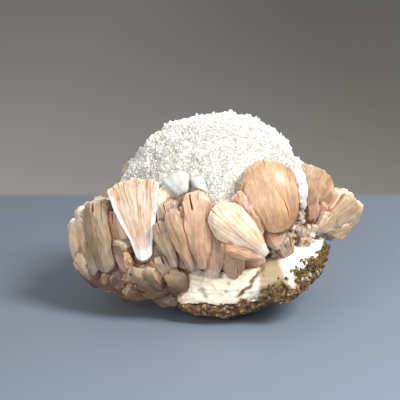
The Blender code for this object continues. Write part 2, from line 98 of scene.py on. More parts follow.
FANS = (
    Fan("centre_shell", (15.8, -35.6, 26.1), (-1.7, -30.5, 40.9), (1.6, 6.9), (2.6, 4.4),
        0.55, 0.36, 1.4, 4, "cream", 0.1, 0.6, 0.3, 0.7, 0.7),
    Fan("left_fan", (-23.3, -27.0, 21.5), (-27.0, -16.0, 46.1), (3.0, 9.5), (2.8, 5.0),
        0.12, 0.13, 0.4, -6, "fan", 1.0, 1.0, 0.2, 0.0, 0.9, 0.3),
    Fan("domed", (20.2, -30.0, 31.7), (13.6, -21.0, 53.7), (7.4, 8.8), (3.8, 6.0),
        0.60, 0.32, 2.2, 6, "peach", 0.0, 0.0, 1.3, 0.6),
    Fan("centre_tall", (-4.8, -32.0, 20.5), (-7.4, -27.0, 45.6), (2.2, 4.8), (2.4, 4.6),
        0.45, 0.18, 1.4, 0, "rose", 0.0, 0.1, 0.6, 0.9),
    Fan("slender_front", (-8.1, -31.0, 20.2), (-14.8, -28.0, 40.3), (1.4, 3.8), (2.2, 3.8),
        0.40, 0.30, 0.8, -8, "amber", 0.0, 0.1),
    Fan("slender_side", (-13.2, -29.0, 20.7), (-18.4, -26.0, 35.6), (1.4, 3.6), (2.2, 3.6),
        0.40, 0.30, 0.8, -14, "tan", 0.1, 0.2),
    Fan("left_wing", (-17.8, -25.0, 26.6), (-15.8, -18.4, 45.7), (2.4, 5.0), (2.6, 4.8),
        0.35, 0.20, 0.6, 14, "cream", 0.2, 0.2),
    Fan("centre_rose", (14.4, -31.0, 31.1), (6.4, -26.0, 44.1), (1.8, 4.2), (2.4, 4.2),
        0.50, 0.30, 1.0, 0, "rose", 0.1, 0.3),
    Fan("pearl_band", (27.0, -26.0, 38.8), (23.6, -19.0, 51.4), (1.8, 3.6), (2.4, 3.8),
        0.30, 0.25, 0.4, 16, "pearl", 0.0, 0.1, 0.6, 0.2, 2.6),
    Fan("centre_lobe", (15.2, -36.0, 25.2), (0.9, -33.0, 29.1), (1.4, 3.1), (2.0, 3.2),
        0.40, 0.40, 0.8, 0, "peach", 0.1, 0.3),
    Fan("left_broad", (-34.8, -20.0, 16.3), (-38.6, -12.0, 38.9), (4.4, 5.8), (3.0, 5.0),
        0.40, 0.14, 1.2, -32, "bed", 0.0, 0.1, 0.2, 0.2, 1.1, 0.3),
    Fan("left_pale", (-40.7, -15.0, 19.8), (-43.2, -8.0, 36.3), (2.6, 3.8), (2.2, 3.8),
        0.40, 0.30, 0.9, -52, "cream", 0.1, 0.2),
    Fan("left_outer", (-44.4, -8.0, 15.9), (-46.2, 0.0, 29.8), (3.4, 5.2), (2.6, 3.6),
        0.50, 0.35, 1.2, -72, "cream", 0.0, 0.2),
    Fan("right_crest", (27.4, -19.0, 37.6), (30.6, -11.0, 48.8), (3.8, 8.6), (3.4, 5.0),
        0.40, 0.20, 0.8, 26, "amber", 0.0, 0.1),
    Fan("cave", (30.5, -20.0, 33.2), (29.9, -17.0, 42.3), (1.5, 2.4), (1.6, 2.4),
        0.30, 0.20, 0.3, 20, "rust", 0.1, 0.1),
    Fan("right_end", (35.0, -12.0, 29.8), (44.2, -5.2, 36.8), (4.0, 6.2), (3.6, 5.4),
        0.40, 0.20, 0.6, 30, "tan", 0.1, 0.2),
    Fan("right_low", (30.6, -20.0, 29.0), (36.5, -15.0, 34.6), (1.8, 3.2), (1.8, 3.0),
        0.40, 0.30, 0.4, 24, "tan", 0.3, 0.3),
    Fan("right_back", (36.5, 7.0, 21.0), (40.6, 10.5, 38.4), (3.8, 8.0), (3.4, 5.6),
        0.40, 0.20, 0.9, 92, "peach"),
    Fan("back_right", (26.0, 25.5, 19.0), (29.6, 29.4, 42.4), (3.8, 8.2), (3.4, 5.6),
        0.40, 0.18, 1.0, 136, "fan", 0.25, 0.6),
    Fan("back_wide", (6.0, 34.4, 18.0), (9.0, 37.2, 47.5), (4.4, 10.2), (3.4, 5.0),
        0.45, 0.20, 1.2, 174, "peach"),
    Fan("back_slender", (-9.0, 35.0, 19.0), (-10.0, 37.6, 42.5), (2.2, 5.2), (3.0, 4.8),
        0.40, 0.25, 0.9, 190, "rose"),
    Fan("back_left", (-22.5, 28.0, 19.0), (-25.6, 31.0, 46.0), (3.6, 8.8), (3.2, 5.4),
        0.40, 0.16, 1.0, 216, "tan"),
    Fan("left_back", (-37.6, 11.5, 16.0), (-41.0, 13.0, 34.0), (3.4, 7.4), (3.2, 5.2),
        0.40, 0.20, 0.9, 252, "cream", 0.5, 0.5),
)
# Smaller sheaves that fill the gaps between the large ones.
GAP_FANS = (
    Fan("by_left_wing", (-10.2, -27.0, 19.7), (-16.0, -24.5, 42.0), (2.4, 5.0), (2.4, 3.6),
        0.40, 0.25, 0.6, -8, "tan"),
    Fan("by_slender", (-6.6, -30.0, 18.5), (-12.0, -27.0, 41.0), (2.4, 4.2), (2.4, 3.6),
        0.40, 0.20, 0.6, -4, "rose"),
    Fan("by_shell", (-2.0, -30.5, 17.5), (-1.5, -29.0, 37.0), (2.8, 4.6), (2.4, 3.4),
        0.40, 0.25, 0.8, 0, "rose"),
    Fan("under_shell", (5.8, -28.5, 15.5), (3.2, -29.5, 30.0), (3.2, 5.0), (2.0, 3.0),
        0.40, 0.20, 0.6, 4, "rose"),
    Fan("under_tip", (12.0, -26.0, 17.0), (10.0, -27.5, 27.0), (3.4, 4.6), (1.8, 2.6),
        0.40, 0.20, 0.4, 8, "rose"),
    Fan("by_domed", (20.5, -28.0, 26.5), (12.0, -24.0, 40.0), (3.4, 5.4), (2.4, 3.2),
        0.40, 0.25, 0.6, 6, "peach"),
    Fan("by_fan", (-29.0, -22.5, 17.0), (-32.3, -17.0, 38.0), (2.6, 3.8), (2.4, 3.0),
        0.40, 0.20, 0.4, -24, "rose"),
    Fan("by_broad", (-39.4, -17.0, 15.5), (-41.2, -12.0, 36.0), (2.8, 4.2), (2.0, 3.0),
        0.40, 0.25, 0.4, -46, "bed"),
    Fan("by_cave", (33.0, -16.5, 27.2), (32.4, -14.0, 39.0), (1.8, 3.0), (1.6, 2.4),
        0.40, 0.20, 0.3, 24, "rust"),
    Fan("end_top", (35.0, -10.5, 31.5), (42.0, -4.5, 41.0), (2.6, 4.0), (3.0, 4.4),
        0.40, 0.30, 0.6, 34, "cream", 0.2, 0.1),
    Fan("end_edge", (37.5, -11.0, 31.0), (46.6, -4.5, 36.6), (2.0, 3.2), (2.4, 3.6),
        0.40, 0.35, 0.6, 44, "cream", 0.3, 0.1),
    Fan("end_low", (34.5, -13.0, 28.4), (42.8, -8.5, 29.6), (2.2, 3.4), (2.4, 3.4),
        0.40, 0.35, 0.4, 30, "tan", 0.0, 0.1),
    Fan("under_fan", (-17.5, -24.5, 16.5), (-21.5, -23.0, 28.0), (2.6, 4.4), (2.0, 3.0),
        0.40, 0.20, 0.4, -12, "tan"),
)
# Sheaves that lie along the underside of the bed, at its front left.
LOW_FANS = (
    Fan("low_slab", (-17.0, -24.5, 15.0), (-29.5, -24.0, 18.5), (2.6, 3.6), (2.2, 2.8),
        0.50, 0.25, 0.6, -10, "bed", 0.0, 0.1, 0.3, 0.6, 1.5, 0.6),
    Fan("low_inner", (-15.5, -22.5, 10.5), (-27.0, -20.5, 13.5), (2.4, 3.4), (2.0, 2.6),
        0.50, 0.25, 0.6, -16, "bed", 0.0, 0.0, 0.3, 0.5, 1.5, 0.6),
    Fan("low_outer", (-29.5, -18.5, 11.5), (-43.0, -9.0, 14.0), (2.8, 4.2), (2.0, 2.8),
        0.50, 0.30, 0.6, -38, "bed", 0.0, 0.0, 0.3, 0.5, 1.5, 0.6),
    Fan("low_left", (-39.5, -14.5, 12.5), (-46.0, -7.0, 19.5), (2.6, 4.0), (1.8, 2.6),
        0.50, 0.30, 0.6, -55, "cream", 0.0, 0.0, 0.3, 0.4, 1.5, 0.6),
    Fan("low_edge", (-10.5, -25.0, 11.5), (-15.8, -25.5, 20.0), (2.4, 3.8), (1.8, 2.6),
        0.40, 0.30, 0.5, -8, "tan", 0.0, 0.0, 0.4, 0.3, 1.5, 0.6),
    Fan("low_middle", (-13.5, -24.0, 14.5), (-20.0, -25.5, 24.0), (2.6, 4.0), (2.0, 2.8),
        0.40, 0.30, 0.5, -14, "tan", 0.0, 0.0, 0.4, 0.3, 1.5, 0.6),
    Fan("low_red", (-22.0, -16.5, 7.5), (-35.5, -15.5, 11.0), (2.4, 3.4), (1.8, 1.5),
        0.50, 0.30, 0.5, -28, "rust", 0.0, 0.0, 0.3, 0.3, 1.5, 0.6),
    Fan("low_foot", (-12.5, -22.0, 6.5), (-21.5, -18.5, 9.5), (2.2, 3.0), (1.8, 1.5),
        0.50, 0.30, 0.5, -20, "bed", 0.0, 0.2, 0.3, 0.3, 1.5, 0.6),
)
# One blade's width and thickness at the crest of its fan, and how its rod is divided.
BLADE_WIDTH = 0.9
BLADE_DEPTH = 2.6
BLADE_SIDES = 6
BLADE_STEPS = 12
# How far the whole of a sheaf is pushed about, and how quickly both of its pushes change.
WANDER = 1.8
WANDER_SCALE = 0.16
CRUMPLE_SCALE = 0.5


# Node trees, from fields that Python's own signs combine.


def combined(operation, turned=False):
    """A method that joins two values in a node, the other way round where turned."""
    def method(field, other):
        values = (other, field) if turned else (field, other)
        return field.tree.maths(operation, *values)
    return method


class Field:
    """A number, vector or colour on its way through a node tree."""

    def __init__(self, tree, socket):
        self.tree = tree
        self.socket = socket

    __add__ = __radd__ = combined("ADD")
    __sub__ = combined("SUBTRACT")
    __rsub__ = combined("SUBTRACT", turned=True)
    __mul__ = __rmul__ = combined("MULTIPLY")
    __truediv__ = combined("DIVIDE")
    __rtruediv__ = combined("DIVIDE", turned=True)
    __pow__ = combined("POWER")


def is_vector(value):
    if isinstance(value, Field):
        return value.socket.type == "VECTOR"
    return isinstance(value, (tuple, Vector))


class Tree:
    """A node tree that grows node by node, with each input named."""

    def __init__(self, nodes_and_links):
        self.nodes = nodes_and_links.nodes
        self.links = nodes_and_links.links

    def feed(self, socket, value):
        if isinstance(value, Field):
            self.links.new(value.socket, socket)
        else:
            socket.default_value = value

    def node(self, kind, inputs=None, **settings):
        """Adds a node and returns it. Inputs are given by their names."""
        made = self.nodes.new(kind)
        for setting, value in settings.items():
            setattr(made, setting, value)
        for name, value in (inputs or {}).items():
            self.feed(next(s for s in made.inputs if s.name == name and s.enabled), value)
        return made

    def out(self, made, name=None):
        """The field that comes out of a node, from its first output unless one is named."""
        found = (s for s in made.outputs if s.enabled and name in (None, s.name))
        return Field(self, next(found))

    def field(self, kind, inputs=None, output=None, **settings):
        """Adds a node and returns the field that comes out of it."""
        return self.out(self.node(kind, inputs, **settings), output)

    def maths(self, operation, *values):
        vectors = [is_vector(value) for value in values]
        if any(vectors) and operation == "MULTIPLY" and not all(vectors):
            vector, scale = values if vectors[0] else values[::-1]
            made = self.node("ShaderNodeVectorMath", {"Scale": scale}, operation="SCALE")
            self.feed(made.inputs[0], vector)
            return self.out(made)
        kind = "ShaderNodeVectorMath" if any(vectors) else "ShaderNodeMath"
        made = self.node(kind, operation=operation)
        for socket, value in zip(made.inputs, values):
            self.feed(socket, value)
        return self.out(made)

    def limit(self, value, low, high):
        return self.maths("MINIMUM", self.maths("MAXIMUM", value, low), high)

    def ramp(self, value, low, high, smooth=True):
        """0 below low and 1 above high, or the other way round where low is the larger."""
        return self.field(
            "ShaderNodeMapRange",
            {"Value": value, "From Min": low, "From Max": high},
            interpolation_type="SMOOTHSTEP" if smooth else "LINEAR",
        )

    def between(self, share, low, high):
        """A number that goes from low to high as share goes from 0 to 1."""
        return self.field("ShaderNodeMix", {"Factor": share, "A": low, "B": high})

    def paint(self, share, under, over, how="MIX"):
        """One colour over another, as far as share says."""
        return self.field(
            "ShaderNodeMix", {"Factor": share, "A": under, "B": over}, data_type="RGBA", blend_type=how,
        )

    def layers(self, colour, *coats):
        """Paints coats over a colour. Each is a share, its colour and, where need be, how it blends."""
        for share, over, *how in coats:
            colour = self.paint(share, colour, over, *how)
        return colour

    def combine(self, x, y, z):
        return self.field("ShaderNodeCombineXYZ", {"X": x, "Y": y, "Z": z})

    def parts(self, vector):
        made = self.node("ShaderNodeSeparateXYZ", {"Vector": vector})
        return [self.out(made, axis) for axis in "XYZ"]

    def noise(self, place, scale, detail=3.0, roughness=0.55, colour=False):
        return self.field(
            "ShaderNodeTexNoise",
            {"Vector": place, "Scale": scale, "Detail": detail, "Roughness": roughness},
            output="Color" if colour else "Fac",
        )

    def push(self, place, scale, far):
        """A push in any direction, which changes from place to place."""
        way = self.noise(place, scale, detail=2.0, colour=True)
        return self.maths("SUBTRACT", way, (0.5, 0.5, 0.5)) * far


def new_group(name, kind, inputs, outputs):
    """An empty node group with those sockets, and the field of each of its inputs."""
    group = bpy.data.node_groups.new(name, kind)
    for socket_name, (socket, default) in inputs.items():
        made = group.interface.new_socket(socket_name, in_out="INPUT", socket_type="NodeSocket" + socket)
        if default is not None:
            made.default_value = default
    for socket_name, socket in outputs.items():
        group.interface.new_socket(socket_name, in_out="OUTPUT", socket_type="NodeSocket" + socket)
    tree = Tree(group)
    entry = group.nodes.new("NodeGroupInput")
    given = {socket_name: Field(tree, entry.outputs[socket_name]) for socket_name in inputs}
    return group, tree, given


def close_group(tree, results):
    tree.node("NodeGroupOutput", results)


def random_field(tree, number, seed, low=0.0, high=1.0, salt=0.0):
    """A random number for each whole number, which another salt changes."""
    return tree.field(
        "FunctionNodeRandomValue",
        {"Min": low, "Max": high, "ID": number, "Seed": seed + salt},
        data_type="FLOAT",
    )


def store(tree, geometry, name, value, data_type="FLOAT"):
    return tree.field(
        "GeometryNodeStoreNamedAttribute",
        {"Geometry": geometry, "Name": name, "Value": value},
        data_type=data_type, domain="POINT",
    )


def named(tree, name, data_type="FLOAT"):
    return tree.field("GeometryNodeInputNamedAttribute", {"Name": name}, data_type=data_type)


def fan_of_blades():
    """The tree that grows one sheaf: blades side by side and in layers, spread from foot to crest.

    Every blade starts as the same six-sided rod round the origin. Its own number says which column
    and layer it is in, and the rod's points then move to where that blade is in the fan.
    """
    group, tree, given = new_group(
        "fan_of_blades", "GeometryNodeTree",
        {
            "Foot": ("Vector", None), "Along": ("Vector", None), "Across": ("Vector", None),
            "Face": ("Vector", None), "Length": ("Float", 20.0),
            "Foot Width": ("Float", 2.0), "Crest Width": ("Float", 6.0),
            "Foot Depth": ("Float", 2.0), "Crest Depth": ("Float", 4.0),
            "Dome": ("Float", 0.4), "Drop": ("Float", 0.2), "Bow": ("Float", 1.0),
            "Belly": ("Float", 0.5), "Crumple": ("Float", 0.5), "Ragged": ("Float", 0.1),
            "Ribs": ("Float", 4.0), "Rib Height": ("Float", 0.7), "Rib Lean": ("Float", 0.6),
            "Columns": ("Int", 10), "Layers": ("Int", 3), "Seed": ("Int", 1),
            "Rim": ("Float", 0.1), "Pale Foot": ("Float", 0.3), "Material": ("Material", None),
        },
        {"Geometry": "Geometry"},
    )
    columns, layers, seed = given["Columns"], given["Layers"], given["Seed"]
    rod = tree.field(
        "GeometryNodeMeshCylinder",
        {"Vertices": BLADE_SIDES, "Side Segments": BLADE_STEPS, "Radius": 1.0, "Depth": 1.0},
        fill_type="TRIANGLE_FAN", output="Mesh",
    )
    starts = tree.field(
        "GeometryNodeMeshLine", {"Count": columns * layers, "Offset": (0.0, 0.0, 0.0)},
    )
    number = tree.field("GeometryNodeInputIndex")
    starts = store(tree, starts, "number", number, "INT")
    rods = tree.field("GeometryNodeInstanceOnPoints", {"Points": starts, "Instance": rod})
    rods = tree.field("GeometryNodeRealizeInstances", {"Geometry": rods})

    number = named(tree, "number", "INT")
    column = tree.maths("MODULO", number, columns)
    layer = tree.maths("FLOOR", number / columns + 0.001)
    chance = [random_field(tree, number, seed, salt=salt) for salt in range(5)]
    # Where a point is on its rod: from side to side, from back to front, and from heel to tip.
    x, y, z = tree.parts(tree.field("GeometryNodeInputPosition"))
    side = tree.limit(x * 1.6, -1.0, 1.0)
    front = y / math.cos(math.pi / BLADE_SIDES)
    rise = 1.0 - tree.maths("MAXIMUM", 0.5 - z, 0.0) ** 1.5

    # Where the blade stands across the fan, from -1 to 1, and whether it is in the front layer.
    place = (column + 0.5 + (chance[0] - 0.5) * 0.4) / columns * 2.0 - 1.0
    is_front = tree.ramp(layer, 0.5, 0.4)
    # Some blades of the front layer start higher or end lower than the rest, so the face is stepped.
    start = tree.ramp(chance[3], 0.86, 1.0) * is_front * 0.30
    shorter = tree.ramp(chance[4], 0.93 - given["Ragged"] * 0.6, 1.0)
    end = 1.0 - shorter * (is_front * 0.16 + given["Ragged"] * 0.3)
    share = start + rise * (end - start)
    tip = tree.ramp(rise, 0.86, 1.0)
    heel = tree.ramp(rise, 0.06, 0.0)

    # A point's own place across the fan shapes the outline, so neighbours run on into each other.
    breadth = (2.0 + 0.8 * chance[1]) * (1.0 - 0.15 * tip * tip)
    own = (place + side * breadth / columns) / (1.0 + 2.2 / columns)
    own_squared = own * own

    # Broad ribs overlap like tiles, and their crests are rounded.
    at_crest = (place * 0.5 + 0.5) * given["Ribs"]
    rib = tree.maths("FRACT", at_crest + given["Rib Lean"] * (1.0 - share) + 8.0)
    from_middle = rib * 2.0 - 1.0
    swell = 0.5 - from_middle * from_middle * from_middle * from_middle
    rib_relief = (0.5 - rib + tree.ramp(rib, 0.80, 1.0)) * 0.6 + swell * 0.5
    from_crest_middle = tree.maths("FRACT", (own * 0.5 + 0.5) * given["Ribs"]) * 2.0 - 1.0
    scallop = from_crest_middle * from_crest_middle * 0.022

    # The half width and half depth of the sheaf at this height, and the blade's share of the depth.
    spread = share ** 1.12
    half_width = tree.between(spread, given["Foot Width"], given["Crest Width"])
    half_width = half_width + given["Belly"] * tree.maths("SINE", share * math.pi)
    half_depth = tree.between(share, given["Foot Depth"], given["Crest Depth"])
    half_depth = half_depth * (1.0 - given["Dome"] * 0.7 * own_squared)
    blade_depth = half_depth / layers * 1.7 * (1.0 - 0.35 * tip * tip) * (1.0 - 0.4 * heel)
    layer_depth = half_depth * (1.0 - (layer * 2.0 + 1.0 + (chance[4] - 0.5) * (1.0 - is_front)) / layers)

    # How long the blade is: shorter towards the sides, and a little uneven.
    drop = 1.0 - given["Drop"] * own_squared * (0.35 + 0.65 * own_squared)
    reach = given["Length"] * drop * (1.0 - scallop) * (1.0 - (0.045 - 0.033 * is_front) * chance[2])
    reach = reach * (1.0 - 0.05 * given["Dome"] * is_front)
    # Where the point goes: across the fan, out of its face and along it.
    slant = side * tip * (chance[1] - 0.5) * 0.35
    sway = tree.maths("SINE", share * 5.0 + place * 4.0) * 0.20
    across = own * half_width + sway
    relief = (chance[3] - 0.5) * 0.12 + (chance[1] - 0.5) * 0.12 * side
    relief = relief + rib_relief * given["Rib Height"] * tree.ramp(share, 0.0, 0.35)
    out = layer_depth + front * blade_depth + relief * (1.0 - heel) * (2.0 * is_front - 1.0)
    out = out + given["Bow"] * tree.maths("SINE", share * math.pi)
    round_foot = given["Foot Width"] * 0.7 * own_squared * (1.0 - share)
    along = reach * share + slant + round_foot

    # What the finish reads from the blades.
    grain = tree.combine(own * given["Crest Width"], out + layer * 3.0, share * given["Length"])
    rods = store(tree, rods, "grain", grain, "FLOAT_VECTOR")
    rods = store(tree, rods, "rise", share)
    rods = store(tree, rods, "tint", chance[2])
    rods = store(tree, rods, "deep", 1.0 - is_front)
    inset = (1.0 - tree.maths("ABSOLUTE", own)) * half_width
    rods = store(tree, rods, "rim", tree.ramp(inset, 1.7, 0.5) * given["Rim"] * (0.3 + 0.7 * is_front))
    rods = store(tree, rods, "pale_foot", tree.ramp(share, 0.36, 0.04) * given["Pale Foot"])

    goal = given["Foot"] + given["Along"] * along + given["Across"] * across + given["Face"] * out
    goal = goal + tree.push(goal, WANDER_SCALE, WANDER)
    goal = goal + tree.push(goal, CRUMPLE_SCALE, given["Crumple"])
    rods = tree.field("GeometryNodeSetPosition", {"Geometry": rods, "Position": goal * MM})
    rods = tree.field(
        "GeometryNodeSetMaterial", {"Geometry": rods, "Material": given["Material"]},
    )
    close_group(tree, {"Geometry": rods})
    return group


# A full turn of a crystal about itself, and more points on a square metre than any surface gets.
FULL_TURN = 6.283
MOST_POINTS = 4.0e6


def scattered_crystals():
    """The tree that stands crystals on a surface, where they lean together in tufts.

    They are lower and stand straighter where the surface's own "compact" is near 1.
    """
    group, tree, given = new_group(
        "scattered_crystals", "GeometryNodeTree",
        {
            "Geometry": ("Geometry", None), "Crystal": ("Object", None), "Spacing": ("Float", 0.001),
            "Least": ("Vector", None), "Most": ("Vector", None), "Seed": ("Int", 1),
            "Tuft Size": ("Float", 3.0), "Tuft Lean": ("Float", 0.5), "Lean": ("Float", 0.3),
            "Tuft Height": ("Float", 0.3), "Hang": ("Float", 0.0), "Highest": ("Float", 100.0),
            "Material": ("Material", None),
        },
        {"Geometry": "Geometry"},
    )
    # Points at least that far apart, none of them above the highest place.
    spread = tree.node(
        "GeometryNodeDistributePointsOnFaces",
        {
            "Mesh": given["Geometry"], "Distance Min": given["Spacing"], "Density Max": MOST_POINTS,
            "Seed": given["Seed"],
        },
        distribute_method="POISSON",
    )
    points = tree.out(spread, "Points")
    points = store(tree, points, "facing", tree.out(spread, "Normal"), "FLOAT_VECTOR")
    height = tree.parts(tree.field("GeometryNodeInputPosition"))[2]
    points = tree.field(
        "GeometryNodeDeleteGeometry",
        {"Geometry": points, "Selection": height * PER_METRE - given["Highest"]}, domain="POINT",
    )
    number = tree.field("GeometryNodeInputIndex")
    points = store(tree, points, "tint", random_field(tree, number, given["Seed"], salt=3))
    loose = 1.0 - named(tree, "compact")
    place = tree.field("GeometryNodeInputPosition") * PER_METRE
    # Crystals near each other lean and grow alike, in tufts.
    tuft = tree.noise(place / given["Tuft Size"], 1.0, detail=1.0, colour=True)
    tuft_height = tree.noise(place / given["Tuft Size"] + (40.0, 0.0, 0.0), 1.6, detail=2.0)
    jitter = tree.field(
        "FunctionNodeRandomValue",
        {"Min": (-1.0, -1.0, -1.0), "Max": (1.0, 1.0, 1.0), "ID": number, "Seed": given["Seed"] + 1},
        data_type="FLOAT_VECTOR",
    )
    way = named(tree, "facing", "FLOAT_VECTOR") + jitter * given["Lean"] * (0.6 + 0.4 * loose)
    tuft_way = tree.maths("SUBTRACT", tuft, (0.5, 0.5, 0.5)) * given["Tuft Lean"] * 2.0
    way = way + tuft_way * (0.4 + 0.6 * loose)
    way = way + tree.combine(0.0, 0.0, given["Hang"] * -1.0)
    turned = tree.field("FunctionNodeAlignRotationToVector", {"Vector": way}, axis="Z")
    spin = tree.combine(0.0, 0.0, random_field(tree, number, given["Seed"], high=FULL_TURN, salt=5))
    turned = tree.field(
        "FunctionNodeRotateRotation", {"Rotation": turned, "Rotate By": spin}, rotation_space="LOCAL",
    )
    size = tree.field(
        "FunctionNodeRandomValue",
        {"Min": given["Least"], "Max": given["Most"], "ID": number, "Seed": given["Seed"] + 2},
        data_type="FLOAT_VECTOR",
    )
    size = size * (1.0 + given["Tuft Height"] * (tuft_height - 0.5) * 2.0) * MM
    size = tree.maths("MULTIPLY", size, tree.combine(1.0, 1.0, 0.28 + 0.72 * loose))
    crystal = tree.field("GeometryNodeObjectInfo", {"Object": given["Crystal"]}, output="Geometry")
    made = tree.field(
        "GeometryNodeInstanceOnPoints",
        {"Points": points, "Instance": crystal, "Rotation": turned, "Scale": size},
    )
    made = tree.field("GeometryNodeRealizeInstances", {"Geometry": made})
    made = tree.field("GeometryNodeSetMaterial", {"Geometry": made, "Material": given["Material"]})
    close_group(tree, {"Geometry": made})
    return group


def grow(name, tree, values, mesh=None):
    """Runs a tree on a mesh, or on none, and returns a plain mesh object of what it makes."""
    piece = add_object(name, mesh or bpy.data.meshes.new(name))
    modifier = piece.modifiers.new("making", "NODES")
    modifier.node_group = tree
    for item in tree.interface.items_tree:
        if item.item_type == "SOCKET" and item.in_out == "INPUT" and item.name in values:
            modifier[item.identifier] = values[item.name]
    made = evaluated_mesh(piece)
    piece.modifiers.remove(modifier)
    piece.data = made
    made.name = name
    return piece


def shade(piece, sharp_degrees=32.0):
    piece.data.shade_smooth()
    piece.data.set_sharp_from_angle(angle=math.radians(sharp_degrees))


def finish_piece(piece, slot, *nodes):
    """Lets the piece ride on the specimen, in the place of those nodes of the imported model."""
    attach(piece, "root")
    if nodes:
        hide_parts(*nodes)


# Patterns that several materials share.


def growth_lines():
    """Fine lines along a blade, broader bands of colour, and thin stained threads."""
    group, tree, given = new_group(
        "growth_lines", "ShaderNodeTree",
        {"Grain": ("Vector", None), "Fineness": ("Float", 2.4), "Threads": ("Float", 0.6)},
        {"Lines": "Float", "Bands": "Float", "Threads": "Float"},
    )
    stretched = tree.maths("MULTIPLY", given["Grain"], (1.0, 0.5, 0.05))
    lines = tree.noise(stretched, given["Fineness"], detail=4.0, roughness=0.6)
    bands = tree.noise(tree.maths("MULTIPLY", given["Grain"], (1.0, 0.4, 0.16)), 0.34, detail=3.0)
    threads = tree.noise(stretched + (31.0, 7.0, 3.0), given["Fineness"] * 0.8, detail=5.0, roughness=0.7)
    close_group(tree, {
        "Lines": lines,
        "Bands": tree.ramp(bands, 0.34, 0.66),
        "Threads": tree.ramp(threads, 0.66 - given["Threads"] * 0.16, 0.78 - given["Threads"] * 0.16),
    })
    return group


def weathering():
    """Broad stains, small specks and a fine grit, from a place in millimetres."""
    group, tree, given = new_group(
        "weathering", "ShaderNodeTree",
        {"Place": ("Vector", None), "Stain Size": ("Float", 6.0), "Speck Size": ("Float", 0.8)},
        {"Stain": "Float", "Specks": "Float", "Grit": "Float"},
    )
    stain = tree.noise(given["Place"] / given["Stain Size"], 1.0, detail=4.0, roughness=0.62)
    specks = tree.noise(given["Place"] / given["Speck Size"], 1.0, detail=2.0, roughness=0.7)
    grit = tree.noise(given["Place"], 3.2, detail=3.0, roughness=0.65)
    close_group(tree, {
        "Stain": tree.ramp(stain, 0.42, 0.64),
        "Specks": tree.ramp(specks, 0.60, 0.72),
        "Grit": grit,
    })
    return group


class Finish:
    """A material under way: its tree, its Principled shader and its place in millimetres."""

    def __init__(self, name):
        self.material = bpy.data.materials.new(name)
        self.material.use_nodes = True
        self.tree = Tree(self.material.node_tree)
        self.shader = next(n for n in self.tree.nodes if n.type == "BSDF_PRINCIPLED")
        self.place = self.tree.field("ShaderNodeTexCoord", output="Object") * PER_METRE

    def group(self, group, inputs, output):
        made = self.tree.node("ShaderNodeGroup", node_tree=group)
        for name, value in inputs.items():
            self.tree.feed(made.inputs[name], value)
        return {name: Field(self.tree, made.outputs[name]) for name in output}

    def attribute(self, name, output="Fac"):
        return self.tree.field("ShaderNodeAttribute", output=output, attribute_name=name)

    def wear(self, groups, stain_size=6.0, speck_size=0.8):
        """The stains, specks and grit of the material."""
        given = {"Place": self.place, "Stain Size": stain_size, "Speck Size": speck_size}
        return self.group(groups["weathering"], given, ("Stain", "Specks", "Grit")).values()

    def bump(self, height, distance, strength):
        made = self.tree.node(
            "ShaderNodeBump", {"Height": height, "Distance": distance * MM, "Strength": strength},
        )
        self.tree.feed(self.shader.inputs["Normal"], self.tree.out(made, "Normal"))

    def set(self, **values):
        for name, value in values.items():
            self.tree.feed(self.shader.inputs[name.replace("_", " ")], value)


def rgb(red, green, blue):
    return (red, green, blue, 1.0)


WHITE_RIM = rgb(0.86, 0.82, 0.77)
LILAC_FOOT = rgb(0.70, 0.58, 0.52)
# Stain and painted shade in the joints between sheaves.
CREVICE_STAIN_AND_SHADE = rgb(0.21, 0.085, 0.045)
# The colour painted as shade on the sheaves' underside.
LOW_SHADE_COLOUR = rgb(0.12, 0.065, 0.04)
# Heights in millimetres between which the sheaves are painted darker towards the underside, as shade.
LOW_SHADE_HEIGHTS = (19.0, 10.5)


def stilbite_finish(tone, light, body, thread, lustre, striped, groups):
    """A satiny, striated finish: pale crests, warmer grooves, stained threads, white rims and feet, with
    painted shade on the blades behind the front, towards the underside and, beside stains, in the joints.
    """
    finish = Finish("stilbite_" + tone)
    tree = finish.tree
    growth = finish.group(
        groups["growth_lines"],
        {"Grain": finish.attribute("grain", "Vector"), "Threads": striped},
        ("Lines", "Bands", "Threads"),
    )
    stain, _, grit = finish.wear(groups)
    rise, tint, deep, rim, pale_foot, closed_in = (
        finish.attribute(name) for name in ("rise", "tint", "deep", "rim", "pale_foot", "crevice")
    )
    brown_foot = tree.ramp(rise, 0.38, 0.04) * (1.0 - pale_foot)
    frost = tree.ramp(rise, 0.17, 0.10) * tree.ramp(grit, 0.36, 0.54)
    # Painted shade: the sheaves darken towards the underside.
    low_shade = tree.ramp(tree.parts(finish.place)[2], *LOW_SHADE_HEIGHTS)
    crevice = tree.ramp(closed_in + (grit - 0.5) * 0.4, 0.08, 0.46)
    ragged = tree.ramp(grit + rim * 0.6, 0.62, 0.85)
    colour = tree.layers(
        light,
        (growth["Bands"], body),
        (tint * 0.45, light),
        (stain * 0.26, thread, "MULTIPLY"),
        # Painted shade: blades behind the front layer are darker.
        (deep * 0.3, thread, "MULTIPLY"),
        (brown_foot * 0.4, thread, "MULTIPLY"),
        (growth["Threads"] * striped, thread),
        (tree.ramp(growth["Lines"], 0.45, 0.7) * (0.08 + 0.25 * striped), WHITE_RIM),
        (pale_foot * 0.7, LILAC_FOOT),
        (tree.ramp(rise, 0.93, 1.0) * 0.20, WHITE_RIM),
        (frost * pale_foot, WHITE_RIM),
        # Painted shade towards the underside.
        (low_shade * 0.88, LOW_SHADE_COLOUR),
        # Stain and painted shade where other pieces close a sheaf in.
        (crevice * 0.68, CREVICE_STAIN_AND_SHADE),
        (ragged * tree.ramp(rim, 0.0, 0.4), WHITE_RIM),
    )
    finish.set(
        Base_Color=colour,
        Roughness=tree.between(growth["Lines"], 0.30, 0.52),
        Coat_Weight=lustre, Coat_Roughness=0.28,
        Subsurface_Weight=0.35, Subsurface_Scale=0.0016, Subsurface_Radius=(1.0, 0.55, 0.32),
    )
    finish.bump(growth["Lines"] + grit * 0.25, distance=0.16, strength=0.5)
    return finish.material


